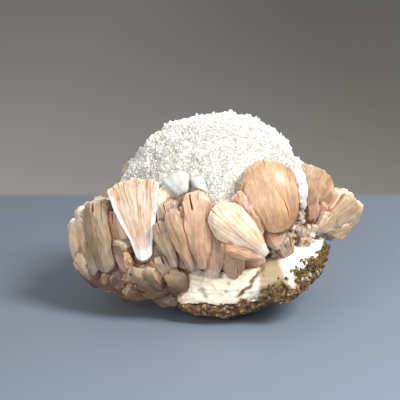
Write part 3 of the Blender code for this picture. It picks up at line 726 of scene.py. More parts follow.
def scolecite_finish(groups):
    """Snow-white needles that darken a little towards their roots, and are glassier and greyer at the
    left, where the grey is partly painted shade.
    """
    finish = Finish("scolecite_white")
    tree = finish.tree
    stain, _, grit = finish.wear(groups, stain_size=9.0)
    x, _, z = tree.parts(finish.place)
    # Greyer towards the left: glassier crystals there, and painted shade on the side away from the light.
    glassy_and_shaded = tree.ramp(x * -1.0 - z * 0.35, -2.0, 14.0)
    snow_tip, glassy_shaded_tip = rgb(0.97, 0.94, 0.85), rgb(0.84, 0.80, 0.76)
    snow_root, glassy_shaded_root = rgb(0.97, 0.93, 0.82), rgb(0.80, 0.75, 0.70)
    beige, cream = rgb(0.84, 0.72, 0.56), rgb(0.97, 0.95, 0.89)
    colour = tree.layers(
        tree.paint(glassy_and_shaded, snow_root, glassy_shaded_root),
        (tree.ramp(finish.attribute("rise"), 0.15, 0.85), tree.paint(glassy_and_shaded, snow_tip, glassy_shaded_tip)),
        (tree.ramp(z, 60.0, 40.0) * stain * 0.5 * (1.0 - glassy_and_shaded), beige),
        (finish.attribute("tint") * 0.3, cream),
    )
    finish.set(
        Base_Color=colour, Roughness=0.38,
        Subsurface_Weight=0.8, Subsurface_Scale=0.003, Subsurface_Radius=(1.0, 0.92, 0.84),
    )
    finish.bump(grit, distance=0.12, strength=0.4)
    return finish.material


def smooth_scolecite_finish(groups):
    """The compact white growth in the crevice: smooth, with patches of painted blue-grey shade and a few
    specks.
    """
    finish = Finish("scolecite_smooth")
    stain, specks, grit = finish.wear(groups)
    white, blue_grey_shade, grey = rgb(0.54, 0.535, 0.52), rgb(0.31, 0.335, 0.38), rgb(0.35, 0.32, 0.30)
    finish.set(
        # Painted shade: blue-grey patches over the white.
        Base_Color=finish.tree.layers(white, (stain * 0.5, blue_grey_shade), (specks * stain * 0.3, grey)),
        Roughness=0.4,
        Subsurface_Weight=0.5, Subsurface_Scale=0.002, Subsurface_Radius=(1.0, 0.95, 0.9),
    )
    finish.bump(grit, distance=0.08, strength=0.4)
    return finish.material


def bed_finish(groups):
    """Small waxy crystals: tan, with pinkish and orange-brown ones, brown joints between them and painted
    shade low down.
    """
    finish = Finish("stilbite_bed")
    tree = finish.tree
    stain, _, grit = finish.wear(groups, stain_size=7.0)
    x, y, z = tree.parts(finish.place)
    lines = tree.noise(tree.maths("MULTIPLY", finish.place, (1.0, 1.0, 0.35)), 1.6, detail=4.0)
    peach_top = tree.ramp(z, 27.0, 34.0)
    pink_middle = tree.ramp(x, -14.0, 2.0) * tree.ramp(x, 34.0, 24.0) * tree.ramp(y, -12.0, -24.0)
    rusty_left = tree.ramp(x, -26.0, -30.0) * tree.ramp(x, -40.0, -35.0) * tree.ramp(z, 17.0, 22.0)
    tan, pale_tan, peach, pink = (
        rgb(0.40, 0.26, 0.15), rgb(0.60, 0.45, 0.31), rgb(0.74, 0.50, 0.31), rgb(0.78, 0.50, 0.36)
    )
    rust, white, brown = rgb(0.50, 0.24, 0.09), rgb(0.88, 0.80, 0.70), rgb(0.42, 0.22, 0.10)
    # The underside colour is painted shade.
    joint, underside = rgb(0.30, 0.13, 0.06), rgb(0.34, 0.24, 0.17)
    colour = tree.layers(
        tan,
        (finish.attribute("tint"), pale_tan),
        (peach_top * 0.4, peach),
        (pink_middle * 0.5, pink),
        (rusty_left * tree.ramp(y, 0.0, -8.0) * 0.45, rust),
        (tree.ramp(lines, 0.50, 0.68) * 0.30, white),
        (stain * 0.25, brown),
        (tree.ramp(finish.attribute("rise"), 0.30, -0.2) * 0.75, joint),
        # Painted shade: the bed turns darker low down.
        (tree.ramp(z, 16.0, 8.0) * 0.5, underside),
    )
    finish.set(
        Base_Color=colour, Roughness=tree.between(grit, 0.30, 0.60),
        Subsurface_Weight=0.2, Subsurface_Scale=0.0012, Subsurface_Radius=(1.0, 0.55, 0.35),
    )
    finish.bump(lines + grit * 0.6, distance=0.3, strength=0.7)
    return finish.material


def glassy_finish(groups):
    """Small translucent crystals, greyish white with a touch of pink."""
    finish = Finish("glassy_zeolite")
    stain, _, grit = finish.wear(groups)
    honey, greyish, pink = rgb(0.70, 0.55, 0.42), rgb(0.82, 0.75, 0.68), rgb(0.66, 0.44, 0.30)
    colour = finish.tree.layers(honey, (finish.attribute("tint"), greyish), (stain * 0.5, pink))
    finish.set(Base_Color=colour, Roughness=0.18, Transmission_Weight=0.35, IOR=1.5)
    finish.bump(grit, distance=0.1, strength=0.4)
    return finish.material


def chalk_finish(groups):
    """The broken matrix: cream white, bright on the right, stained and painted with shade in its hollows,
    and stained along the rind.
    """
    finish = Finish("zeolite_chalk")
    tree = finish.tree
    stain, specks, grit = finish.wear(groups, stain_size=5.0, speck_size=0.9)
    x, y, z = tree.parts(finish.place)
    cream, yellowish = rgb(0.97, 0.89, 0.72), rgb(0.92, 0.78, 0.56)
    beige, white, brown = rgb(0.345, 0.27, 0.175), rgb(0.90, 0.87, 0.82), rgb(0.36, 0.25, 0.16)
    old_face, speck, hollow = rgb(0.62, 0.49, 0.33), rgb(0.62, 0.48, 0.30), rgb(0.20, 0.14, 0.09)
    dark_earth, earth, pale_earth = (
        rgb(0.10, 0.065, 0.035), rgb(0.34, 0.23, 0.12), rgb(0.62, 0.52, 0.36)
    )
    soil = tree.layers(dark_earth, (stain, earth), (specks * 0.6, pale_earth))
    colour = tree.layers(
        cream,
        (stain * 0.55, yellowish),
        (tree.ramp(x, 12.0, 14.0), beige),
        (tree.ramp(x + z * 0.4, 27.5, 30.5), white),
        (tree.ramp(x, -9.0, -12.5) * 0.55, brown),
        (stain * tree.ramp(y, -14.0, -4.0) * 0.6, old_face),
        (specks * 0.35, speck),
        (finish.attribute("soil") * 0.9, soil),
        # Stain and painted shade: the crack and pits are dark.
        (finish.attribute("hollow"), hollow),
    )
    finish.set(Base_Color=colour, Roughness=0.72)
    finish.bump(grit + specks * 0.3, distance=0.35, strength=0.7)
    return finish.material


def basalt_finish(groups):
    """The host rock: brown-black and pitted, with ochre streaks and pale crumbs."""
    finish = Finish("basalt")
    tree = finish.tree
    stain, specks, grit = finish.wear(groups, stain_size=2.2, speck_size=0.7)
    crumbs = tree.noise(finish.place, 0.55, detail=4.0, roughness=0.7)
    black, brown = rgb(0.10, 0.052, 0.024), rgb(0.38, 0.21, 0.08)
    pale_crumb, ochre = rgb(0.74, 0.60, 0.40), rgb(0.44, 0.34, 0.12)
    colour = tree.layers(
        black, (stain, brown), (tree.ramp(crumbs, 0.58, 0.64), pale_crumb), (specks * 0.7, ochre),
    )
    finish.set(Base_Color=colour, Roughness=0.82)
    finish.bump(grit + crumbs, distance=0.6, strength=0.8)
    return finish.material


def celadonite_finish(groups):
    """Earthy granules, from dark olive to golden."""
    finish = Finish("celadonite")
    stain, _, grit = finish.wear(groups, stain_size=2.5)
    olive, golden, brown = rgb(0.04, 0.028, 0.007), rgb(0.22, 0.15, 0.028), rgb(0.12, 0.06, 0.02)
    colour = finish.tree.layers(olive, (finish.attribute("tint"), golden), (stain * 0.7, brown))
    finish.set(Base_Color=colour, Roughness=0.8)
    finish.bump(grit, distance=0.4, strength=0.8)
    return finish.material


# Shapes, in bmesh and as objects.


def add_object(name, data):
    """A new object in the scene, at the origin."""
    made = bpy.data.objects.new(name, data)
    bpy.context.scene.collection.objects.link(made)
    return made


def evaluated_mesh(piece):
    """The mesh that the piece's modifiers make."""
    return bpy.data.meshes.new_from_object(piece.evaluated_get(bpy.context.evaluated_depsgraph_get()))


def as_mesh(shape, name):
    """Turns a bmesh into a mesh, and frees it."""
    mesh = bpy.data.meshes.new(name)
    shape.to_mesh(mesh)
    shape.free()
    return mesh


def from_mesh(mesh):
    """A bmesh that starts as a copy of the mesh."""
    shape = bmesh.new()
    shape.from_mesh(mesh)
    return shape


def cut_level(shape, height, **which):
    """Cuts a bmesh off at that height in millimetres, clears a side and returns the open edges."""
    bmesh.ops.bisect_plane(
        shape, geom=shape.verts[:] + shape.edges[:] + shape.faces[:],
        plane_co=(0, 0, height * MM), plane_no=(0, 0, 1), **which,
    )
    return [edge for edge in shape.edges if edge.is_boundary]


def coat(mesh, material):
    """Gives the whole mesh one material."""
    mesh.materials.clear()
    mesh.materials.append(material)


def store_on(mesh, name, values):
    """Stores a number for each point of the mesh."""
    mesh.attributes.new(name, "FLOAT", "POINT").data.foreach_set("value", values)


def close_rings(shape, rings):
    """Skins a stack of rings of vertices and closes both ends."""
    sides = len(rings[0])
    for low, high in zip(rings, rings[1:]):
        for k in range(sides):
            shape.faces.new((low[k], low[(k + 1) % sides], high[(k + 1) % sides], high[k]))
    shape.faces.new(rings[0][::-1])
    shape.faces.new(rings[-1])


def crystal_shape(name, rows, sides=4):
    """A small crystal of height 1 that stands on the origin. Rows are pairs of height and radius."""
    shape = bmesh.new()
    rise = shape.verts.layers.float.new("rise")
    rings = []
    for height, radius in rows:
        ring = []
        for k in range(sides):
            turn = math.tau * (k + 0.5) / sides
            vert = shape.verts.new((math.cos(turn) * radius, math.sin(turn) * radius, height))
            vert[rise] = height
            ring.append(vert)
        rings.append(ring)
    close_rings(shape, rings)
    return add_object(name, as_mesh(shape, name))


# The blades of a small sheaf: how far to the side each is, and its height.
SMALL_BLADES = ((-0.74, 0.84), (-0.27, 1.0), (0.22, 0.94), (0.70, 0.78))
# Along each of those blades: height, half width, half depth, and how far the sheaf has spread.
SMALL_BLADE_ROWS = (
    (-0.6, 0.20, 0.55, 0.6), (0.25, 0.27, 0.95, 0.8), (0.86, 0.31, 0.85, 1.0), (1.0, 0.2, 0.3, 1.05),
)


def small_sheaf_shape():
    """Four short blades that lean apart, of height 1, standing on the origin."""
    shape = bmesh.new()
    rise = shape.verts.layers.float.new("rise")
    for side, height in SMALL_BLADES:
        rings = []
        for up, half_width, half_depth, spread in SMALL_BLADE_ROWS:
            ring = [
                shape.verts.new((side * spread + x * half_width, y * half_depth, up * height))
                for x, y in ((-1, -0.8), (0, -1), (1, -0.8), (1, 0.8), (0, 1), (-1, 0.8))
            ]
            for vert in ring:
                vert[rise] = up
            rings.append(ring)
        close_rings(shape, rings)
    return add_object("small_sheaf", as_mesh(shape, "small_sheaf"))


MERGE_DISTANCE = 0.00001


def copy_of(node, name):
    """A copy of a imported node's mesh, with its loose triangles merged."""
    shape = from_mesh(FRAME["nodes"][node].data)
    bmesh.ops.remove_doubles(shape, verts=shape.verts, dist=MERGE_DISTANCE)
    return as_mesh(shape, name)


def remeshed(name, mesh, voxel):
    """The mesh rebuilt from small cubes of that many millimetres, ready to be weathered."""
    piece = add_object(name, mesh)
    modifier = piece.modifiers.new("voxels", "REMESH")
    modifier.mode = "VOXEL"
    modifier.voxel_size = voxel * MM
    made = evaluated_mesh(piece)
    piece.modifiers.remove(modifier)
    piece.data = made
    return piece


def weather(piece, how_far):
    """Moves each point along its normal by how_far(place, normal), all in millimetres."""
    mesh = piece.data
    moves = [vert.normal * how_far(vert.co / MM, vert.normal) * MM for vert in mesh.vertices]
    for vert, move in zip(mesh.vertices, moves):
        vert.co += move
    mesh.update()


def patch_of(mesh, keep):
    """A copy of the mesh with only the faces whose middle, in millimetres, passes keep."""
    shape = from_mesh(mesh)
    away = [face for face in shape.faces if not keep(face.calc_center_median() / MM)]
    bmesh.ops.delete(shape, geom=away, context="FACES")
    return as_mesh(shape, "patch")


def smooth_between(value, low, high):
    share = min(max((value - low) / (high - low), 0.0), 1.0)
    return share * share * (3.0 - 2.0 * share)


def dome_surface():
    """The ball under the needles, which also stores how compact each part of it is."""
    shape = bmesh.new()
    bmesh.ops.create_icosphere(shape, subdivisions=6, radius=1.0)
    compact = shape.verts.layers.float.new("compact")
    for vert in shape.verts:
        way = vert.co.normalized()
        towards_front = way.dot(DOME_COMPACT) + 0.12 * noise.noise(way * 5.0)
        vert[compact] = smooth_between(towards_front, 0.26, 0.62)
        radius = DOME_RADIUS + DOME_SWELL * noise.noise(way * 2.6)
        rough = 1.3 * noise.noise(way * 6.0) + 1.0 * noise.noise(way * 13.0)
        radius += rough * (1.0 - 0.5 * vert[compact])
        for direction, height, width in DOME_BUMPS + DOME_TUFTS:
            radius += height * math.exp(-(1.0 - way.dot(direction.normalized())) / width)
        vert.co = (DOME_CENTRE + way * radius) * MM
    bmesh.ops.edgeloop_fill(shape, edges=cut_level(shape, DOME_CUT_Z, clear_inner=True))
    return as_mesh(shape, "dome_core")


def grow_fan(fan, tree, material, seed, face=None):
    """One sheaf as a mesh object. It faces as its turn says, or as face says."""
    foot, crest = Vector(fan.foot), Vector(fan.crest)
    along = (crest - foot).normalized()
    turn = math.radians(fan.turn)
    face = face or Vector((math.sin(turn), -math.cos(turn), 0.0))
    face = (face - face.dot(along) * along).normalized()
    piece = grow("sheaf_" + fan.name, tree, {
        "Foot": foot, "Along": along, "Across": face.cross(along), "Face": face,
        "Length": (crest - foot).length,
        "Foot Width": fan.width[0], "Crest Width": fan.width[1],
        "Foot Depth": fan.depth[0], "Crest Depth": fan.depth[1],
        "Dome": fan.dome, "Drop": fan.drop, "Bow": fan.bow, "Belly": fan.belly,
        "Crumple": fan.crumple, "Ragged": fan.ragged,
        "Ribs": max(fan.width[1] * 0.36, 1.5), "Rib Height": 0.15 + 0.5 * fan.dome, "Rib Lean": fan.lean,
        "Columns": max(round(2.0 * fan.width[1] / BLADE_WIDTH), 4),
        "Layers": max(round(2.0 * fan.depth[1] / BLADE_DEPTH), 2),
        "Seed": seed, "Rim": fan.rim, "Pale Foot": fan.pale_foot, "Material": material,
    })
    shade(piece)
    return piece


def make_dome(tree, material, grain, needle):
    """The ball: its core, its thick coat of short crystals and the longer needles between them."""
    core = dome_surface()
    needles = grow("dome_needles", tree, {
        "Crystal": grain, "Spacing": 0.72 * MM, "Seed": 4,
        "Least": (0.60, 0.50, 0.2), "Most": (1.20, 0.95, 0.9),
        "Tuft Size": 2.6, "Tuft Lean": 0.4, "Lean": 0.35, "Tuft Height": 0.7, "Material": material,
    }, core.copy())
    spikes = grow("dome_spikes", tree, {
        "Crystal": needle, "Spacing": 1.30 * MM, "Seed": 5,
        "Least": (0.30, 0.26, 0.3), "Most": (0.70, 0.60, 1.4),
        "Tuft Size": 4.0, "Tuft Lean": 0.8, "Lean": 0.5, "Tuft Height": 0.9, "Material": material,
    }, core.copy())
    ball = add_object("dome_core", core)
    coat(core, material)
    core.shade_smooth()
    for piece in (needles, spikes, ball):
        finish_piece(piece, "scolecite_white", "scolecite_dome")


# The white growth in the crevice: the corners of its two wedges, in front of the dome.
NUB_WEDGES = (
    (
        (-18.2, -24.5, 48.4), (-13.1, -24.5, 50.8), (-9.4, -25.0, 50.2), (-9.8, -27.4, 45.2),
        (-12.7, -27.2, 43.4), (-16.6, -26.0, 46.4), (-17.0, -19.5, 45.0), (-10.0, -19.5, 44.0),
        (-12.0, -19.5, 50.4), (-10.8, -27.6, 48.0),
    ),
    (
        (-9.0, -24.0, 48.6), (-5.8, -24.5, 49.4), (-4.4, -25.0, 47.8), (-3.8, -26.6, 44.6),
        (-6.6, -27.0, 46.0), (-9.0, -21.0, 45.0), (-4.0, -21.0, 45.0), (-5.0, -21.0, 49.0),
    ),
)
NUB_VOXEL = 0.3
NUB_SMOOTHINGS = 14


def make_nub(material):
    """Two wedges with rounded edges, a little uneven."""
    shape = bmesh.new()
    for corners in NUB_WEDGES:
        made = [shape.verts.new(Vector(corner) * MM) for corner in corners]
        hull = bmesh.ops.convex_hull(shape, input=made)
        unused = hull["geom_interior"] + hull["geom_unused"]
        inside = [one for one in unused if isinstance(one, bmesh.types.BMVert)]
        bmesh.ops.delete(shape, geom=inside, context="VERTS")
    nub = remeshed("nub", as_mesh(shape, "nub"), NUB_VOXEL)
    shape = from_mesh(nub.data)
    for _ in range(NUB_SMOOTHINGS):
        bmesh.ops.smooth_vert(
            shape, verts=shape.verts, factor=0.5, use_axis_x=True, use_axis_y=True, use_axis_z=True,
        )
    shape.to_mesh(nub.data)
    shape.free()

    def how_far(place, normal):
        return 0.25 + 0.25 * noise.noise(place * 0.5) + 0.06 * noise.noise(place * 1.6)

    weather(nub, how_far)
    coat(nub.data, material)
    nub.data.shade_smooth()
    finish_piece(nub, "scolecite_white", "scolecite_nub")


# The bed's middle and its half sizes. It narrows to a share of them from one height down to another.
BED_MIDDLE = Vector((-3.0, 4.5, 0.0))
BED_HALF = (39.0, 31.5)
BED_NARROWS = (10.5, 24.0)
BED_FOOT_SHARE = 0.58
# The scene leaves out what the bed's solid has above this height.
BED_TOP_Z = 36.0


def beyond_bed(place):
    """How far a place lies outside the core of the bed, in millimetres."""
    share = BED_FOOT_SHARE + (1.0 - BED_FOOT_SHARE) * smooth_between(place.z, *BED_NARROWS)
    flat = place - BED_MIDDLE
    across = math.hypot(flat.x / (BED_HALF[0] * share), flat.y / (BED_HALF[1] * share))
    return (across - 1.0) * math.hypot(flat.x, flat.y) / max(across, 0.1)


def surface_of(mesh):
    """The mesh as a tree of faces that rays and nearest points are found on, in millimetres."""
    return BVHTree.FromPolygons(
        [vert.co / MM for vert in mesh.vertices], [face.vertices for face in mesh.polygons],
    )


def joined(name, pieces):
    """One object made of all the pieces."""
    bpy.context.view_layer.update()
    first = pieces[0]
    with bpy.context.temp_override(
        active_object=first, object=first, selected_objects=pieces, selected_editable_objects=pieces,
    ):
        bpy.ops.object.join()
    first.name = name
    return first


def bed_mesh():
    """The bed's solid without the thin wall round the dome, where the sheaves of the ring stand."""
    shape = from_mesh(copy_of("stilbite_bed", "bed"))
    bmesh.ops.holes_fill(shape, edges=cut_level(shape, BED_TOP_Z, clear_outer=True))
    return as_mesh(shape, "bed")


def make_bed(tree, material, small_sheaf):
    """The bed under the sheaves, with small crystals all over it."""
    bed = add_object("bed", bed_mesh())
    chips = grow("bed_chips", tree, {
        "Crystal": small_sheaf, "Spacing": 3.8 * MM, "Seed": 9, "Highest": BED_TOP_Z,
        "Least": (0.4, 0.35, 0.3), "Most": (0.9, 0.7, 0.9),
        "Tuft Size": 5.0, "Tuft Lean": 0.8, "Lean": 0.4, "Tuft Height": 0.3, "Hang": -0.5,
        "Material": material,
    }, bed.data.copy())
    coat(bed.data, material)
    proud = [smooth_between(beyond_bed(vert.co / MM), 0.5, 4.0) for vert in bed.data.vertices]
    store_on(bed.data, "rise", proud)
    shade(chips)
    for piece in (bed, chips):
        finish_piece(piece, "stilbite_bed", "stilbite_bed")
    return bed


# The sheaves that lie on the bed. Each turns on from the last by this share of a round, which
# never repeats, and none lies where the matrix is less than this far behind the bed's face.
SHINGLES = 120
SHINGLE_TURN = 0.618034
SHINGLE_HEIGHTS = (6.0, 30.0)
SHINGLE_LENGTHS = (9.0, 16.0)
SHINGLE_WIDTHS = (2.2, 3.8)
SHINGLE_SINK = 1.6
MATRIX_BEHIND = 4.0
RAY_START = 90.0
UPWARDS = Vector((0.0, 0.0, 1.0))


def bed_sheaves(tree, material, bed, matrix):
    """Sheaves that lie on the bed like shingles and rise outwards, except behind the matrix."""
    bed_surface, matrix_surface = surface_of(bed.data), surface_of(matrix.data)
    dice = random.Random(6)
    lowest, highest = SHINGLE_HEIGHTS
    made = []
    for number in range(SHINGLES):
        bearing = math.tau * SHINGLE_TURN * number
        height = lowest + (highest - lowest) * (number + 0.5) / SHINGLES
        outwards = Vector((math.cos(bearing), math.sin(bearing), 0.0))
        start = BED_MIDDLE + outwards * RAY_START + UPWARDS * height
        swing, length = dice.uniform(-0.5, 0.5), dice.uniform(*SHINGLE_LENGTHS)
        width, seed = dice.uniform(*SHINGLE_WIDTHS), dice.randrange(1000)
        place = bed_surface.ray_cast(start, -outwards)[0]
        stone = matrix_surface.ray_cast(start, -outwards)[0]
        if not place or (stone and (stone - start).length < (place - start).length + MATRIX_BEHIND):
            continue
        facing = (outwards + UPWARDS * (-0.6 + 0.02 * height)).normalized()
        up = (UPWARDS - facing * facing.z).normalized()
        along = (up + facing * 0.25 + facing.cross(up) * swing).normalized()
        foot = place - along * length * 0.5 - facing * SHINGLE_SINK
        fan = Fan(
            f"shingle_{number}", foot, foot + along * length, (width * 0.5, width), depth=(1.6, 2.4),
            dome=0.35, drop=0.22, bow=0.5, turn=0, tone="bed", rim=0.05, pale_foot=0.1,
            lean=0.5, belly=0.3, crumple=1.4, ragged=0.7,
        )
        made.append(grow_fan(fan, tree, material, seed, facing))
    return made


# Round the sides and back stand more sheaves, on an oval about the bed's middle. Each row gives
# its bearings, the heights of its feet and crests, and how large its oval is at both.
RING_HALF = (39.5, 31.5)
RING_ROWS = (
    (tuple(range(-36, 206, 13)), 20.5, 38.5, 0.90, 1.05),
    ((-33, -21, -9, 3, 15, 27, 39, 145, 158, 171, 184, 197), 28.0, 41.5, 0.88, 0.925),
)
# Between these bearings the crests sink by this much, and stay lower behind the left front sheaves.
RING_DIP = 5.5
RING_DIP_BEARINGS = (120.0, 150.0)


def ring_sheaves(tree, tones):
    """Upright sheaves round the sides and back, between the large ones."""
    dice = random.Random(12)
    made = []
    for bearings, low, high, foot_share, crest_share in RING_ROWS:
        for degrees in bearings:
            bearing = math.radians(degrees + dice.uniform(-3.0, 3.0))
            outwards = Vector((math.cos(bearing), math.sin(bearing), 0.0))
            rim = Vector((RING_HALF[0] * outwards.x, RING_HALF[1] * outwards.y, 0.0))
            swing = Vector((-outwards.y, outwards.x, 0.0)) * dice.uniform(-2.5, 2.5)
            foot = BED_MIDDLE + rim * foot_share + UPWARDS * (low + dice.uniform(-2.0, 2.0))
            crest = BED_MIDDLE + rim * crest_share + swing + UPWARDS * (high + dice.uniform(-2.5, 2.0))
            crest.z -= RING_DIP * smooth_between(degrees, *RING_DIP_BEARINGS)
            tone, width = dice.choice(("peach", "tan", "cream", "rose")), dice.uniform(3.4, 5.4)
            fan = Fan(
                f"ring_{degrees}_{low:.0f}", foot, crest, (width * 0.5, width), depth=(2.0, 3.2),
                dome=0.35, drop=0.22, bow=0.8, turn=0, tone=tone, rim=0.1, pale_foot=0.2,
                lean=0.6, belly=0.4, crumple=1.4, ragged=0.4,
            )
            made.append(grow_fan(fan, tree, tones[tone], dice.randrange(1000), outwards))
    return made


# How far a sheaf looks round for others that close it in, and the slant of that look.
CREVICE_REACH = 4.5
CREVICE_SLANT = 1.2


def looks_from(normal):
    """Straight out from a surface, and aslant to four sides."""
    side = normal.orthogonal().normalized() * CREVICE_SLANT
    other = side.cross(normal)
    return normal, normal + side, normal - side, normal + other, normal - other


def mark_crevices(sheaves, others):
    """Stores on each sheaf how much the pieces round it close it in, for the stains and the painted shade
    in the joints.
    """
    places, faces, owners = [], [], []
    for owner, piece in enumerate(sheaves + others):
        first = len(places)
        places += [vert.co / MM for vert in piece.data.vertices]
        faces += [[first + k for k in face.vertices] for face in piece.data.polygons]
        owners += [owner] * len(piece.data.polygons)
    around = BVHTree.FromPolygons(places, faces)
    for owner, piece in enumerate(sheaves):
        closed_in = []
        for vert in piece.data.vertices:
            start = vert.co / MM + vert.normal * 0.1
            looks = looks_from(vert.normal)
            total = 0.0
            for way in looks:
                hit, _, face, far = around.ray_cast(start, way, CREVICE_REACH)
                if hit and owners[face] != owner:
                    total += 1.0 - far / CREVICE_REACH
            closed_in.append(total / len(looks))
        store_on(piece.data, "crevice", closed_in)


# The crack in the matrix runs from here to here, seen from the front.
CRACK_TOP = Vector((14.2, 0.0, 20.5))
CRACK_FOOT = Vector((6.0, 0.0, 10.0))


STONE_VOXEL = 0.55
# How thick the earth lies on the foot of the matrix at most, and how high each of its ledges is.
EARTH_THICKNESS = 3.2
LEDGE = 1.5


def make_base(material):
    """The chalky matrix, with ledges, pits and a crack, and earth along its foot."""
    base = remeshed("matrix", copy_of("zeolite_base", "matrix"), STONE_VOXEL)
    line = (CRACK_FOOT - CRACK_TOP).normalized()
    hollows, soils = [], []

    def how_far(place, normal):
        above = place.z - 0.27 * place.x - 0.20 * max(place.x - 14.0, 0.0)
        edge = 7.4 + 2.2 * noise.noise(place * 0.30) + 1.6 * noise.noise(place * 0.9)
        soils.append(1.0 - smooth_between(above, edge - 1.0, edge + 0.6))
        smooth = smooth_between(place.x, 12.0, 20.0)
        rough = 0.6 - 0.3 * smooth + 0.6 * smooth_between(place.y, -12.0, 2.0)
        lift = rough * (1.1 * noise.noise(place * 0.22) + 0.5 * noise.noise(place * 0.7))
        # Thin ledges run round the left block.
        step = place.z + 0.8 * noise.noise(place * 0.15)
        near_top = smooth_between(place.z - 0.16 * place.x, 11.0, 13.0)
        lift += (1.0 - smooth) * 0.5 * near_top * (2.0 * abs((step / LEDGE) % 1.0 - 0.5) - 0.5)
        # The earth is thickest along the right of the foot.
        thick = smooth_between(place.x, 12.0, 22.0) * (1.0 - smooth_between(place.z, 19.0, 26.0))
        lift += EARTH_THICKNESS * soils[-1] * thick
        flat = Vector((place.x, 0.0, place.z)) - CRACK_TOP
        wobble = 0.8 * noise.noise(place * 0.5)
        off = abs(flat.x * line.z - flat.z * line.x + wobble)
        along = flat.dot(line)
        here = smooth_between(along, -1.0, 1.0) * (1.0 - smooth_between(along, 12.0, 14.0))
        crack = here * (1.0 - smooth_between(off, 0.25, 0.9)) * (normal.y < 0.1)
        pit = smooth_between(noise.noise(place * 0.45 + Vector((9.0, 0.0, 0.0))), 0.32, 0.5)
        # The crack and pits are marked for their stain and painted shade.
        hollows.append(min(crack + 0.5 * pit * (1.0 - smooth), 1.0))
        return lift - 1.4 * crack - 0.9 * pit * rough + soils[-1] * 0.7 * noise.noise(place * 1.2)

    weather(base, how_far)
    store_on(base.data, "hollow", hollows)
    store_on(base.data, "soil", soils)
    coat(base.data, material)
    shade(base, sharp_degrees=40.0)
    finish_piece(base, "zeolite_chalk", "zeolite_base")
    return base


def make_rind(material):
    """The lumpy, pitted rind under the matrix."""
    rind = remeshed("rind", copy_of("basalt_rind", "rind"), STONE_VOXEL)

    def how_far(place, normal):
        # The flat that the specimen rests on stays flat.
        free = smooth_between(place.z, 0.1, 1.6)
        lumps = 0.8 * noise.noise(place * 0.35) + 0.5 * noise.noise(place * 1.1)
        return free * (lumps - 0.9 * smooth_between(noise.noise(place * 0.6), 0.25, 0.5))

    weather(rind, how_far)
    coat(rind.data, material)
    shade(rind, sharp_degrees=45.0)
    finish_piece(rind, "basalt", "basalt_rind")


def make_soil(tree, material, granule, matrix):
    """A rough skin of dark earth round the foot of the matrix."""
    soils = [value.value for value in matrix.data.attributes["soil"].data]

    def key(place):
        return tuple(round(x, 3) for x in place)

    soiled = {
        key(face.center / MM): min(soils[k] for k in face.vertices) for face in matrix.data.polygons
    }

    def is_soil(place):
        return soiled.get(key(place), 0.0) > 0.5

    crumbs = grow("soil_crumbs", tree, {
        "Crystal": granule, "Spacing": 0.66 * MM, "Seed": 17,
        "Least": (0.3, 0.3, 0.2), "Most": (1.05, 0.9, 0.7),
        "Tuft Size": 3.0, "Tuft Lean": 0.4, "Lean": 0.7, "Tuft Height": 0.6, "Material": material,
    }, patch_of(matrix.data, is_soil))
    crumbs.data.shade_smooth()
    finish_piece(crumbs, "basalt")


CRUST_VOXEL = 0.5


def make_crust(name, tree, material, granule, matrix, seed):
    """Lumps of olive granules, which thin out over the matrix round them."""
    lumps = remeshed(name + "_lumps", copy_of(name, name), CRUST_VOXEL)

    def how_far(place, normal):
        high = smooth_between(place.z, 22.5, 26.0)
        return -0.9 - 1.5 * high + 0.7 * noise.noise(place * 0.5) + 0.4 * noise.noise(place * 1.4)

    weather(lumps, how_far)
    nearest = surface_of(lumps.data)

    def near_the_lumps(place):
        return place.z < 24.0 and nearest.find_nearest(place)[3] < 1.2 + 3.2 * noise.noise(place * 0.6)

    values = {
        "Crystal": granule, "Spacing": 0.48 * MM, "Seed": seed,
        "Least": (0.25, 0.25, 0.20), "Most": (0.75, 0.75, 0.65),
        "Tuft Size": 2.0, "Tuft Lean": 0.4, "Lean": 0.6, "Tuft Height": 0.5, "Material": material,
    }
    granules = grow(name + "_granules", tree, values, lumps.data.copy())
    strewn = grow(name + "_strewn", tree, values, patch_of(matrix.data, near_the_lumps))
    coat(lumps.data, material)
    for piece in (lumps, granules, strewn):
        piece.data.shade_smooth()
        finish_piece(piece, "celadonite", name)


def make_glassy_blocks(tree, material, block, bed):
    """Small translucent blocky crystals between the foot of the domed sheaf and the matrix."""

    def in_the_nook(place):
        return 17.0 < place.x < 36.0 and place.y < -14.0 and 24.0 < place.z < 37.0

    blocks = grow("glassy_blocks", tree, {
        "Crystal": block, "Spacing": 1.5 * MM, "Seed": 31,
        "Least": (0.8, 0.7, 0.9), "Most": (1.8, 1.5, 2.6),
        "Tuft Size": 3.0, "Tuft Lean": 0.8, "Lean": 0.7, "Tuft Height": 0.3, "Material": material,
    }, patch_of(bed.data, in_the_nook))
    shade(blocks)
    finish_piece(blocks, "stilbite_bed")


def granule_shape():
    """A round grain of radius 1 about the origin."""
    shape = bmesh.new()
    bmesh.ops.create_icosphere(shape, subdivisions=1, radius=1.0)
    return add_object("granule", as_mesh(shape, "granule"))


# The studio.

FLOOR_HALF = 4000.0
# How far behind the specimen the table top changes colour.
HORIZON = (174.0, 190.0)
LIGHT_AIM = (0.0, 0.0, 25.0)


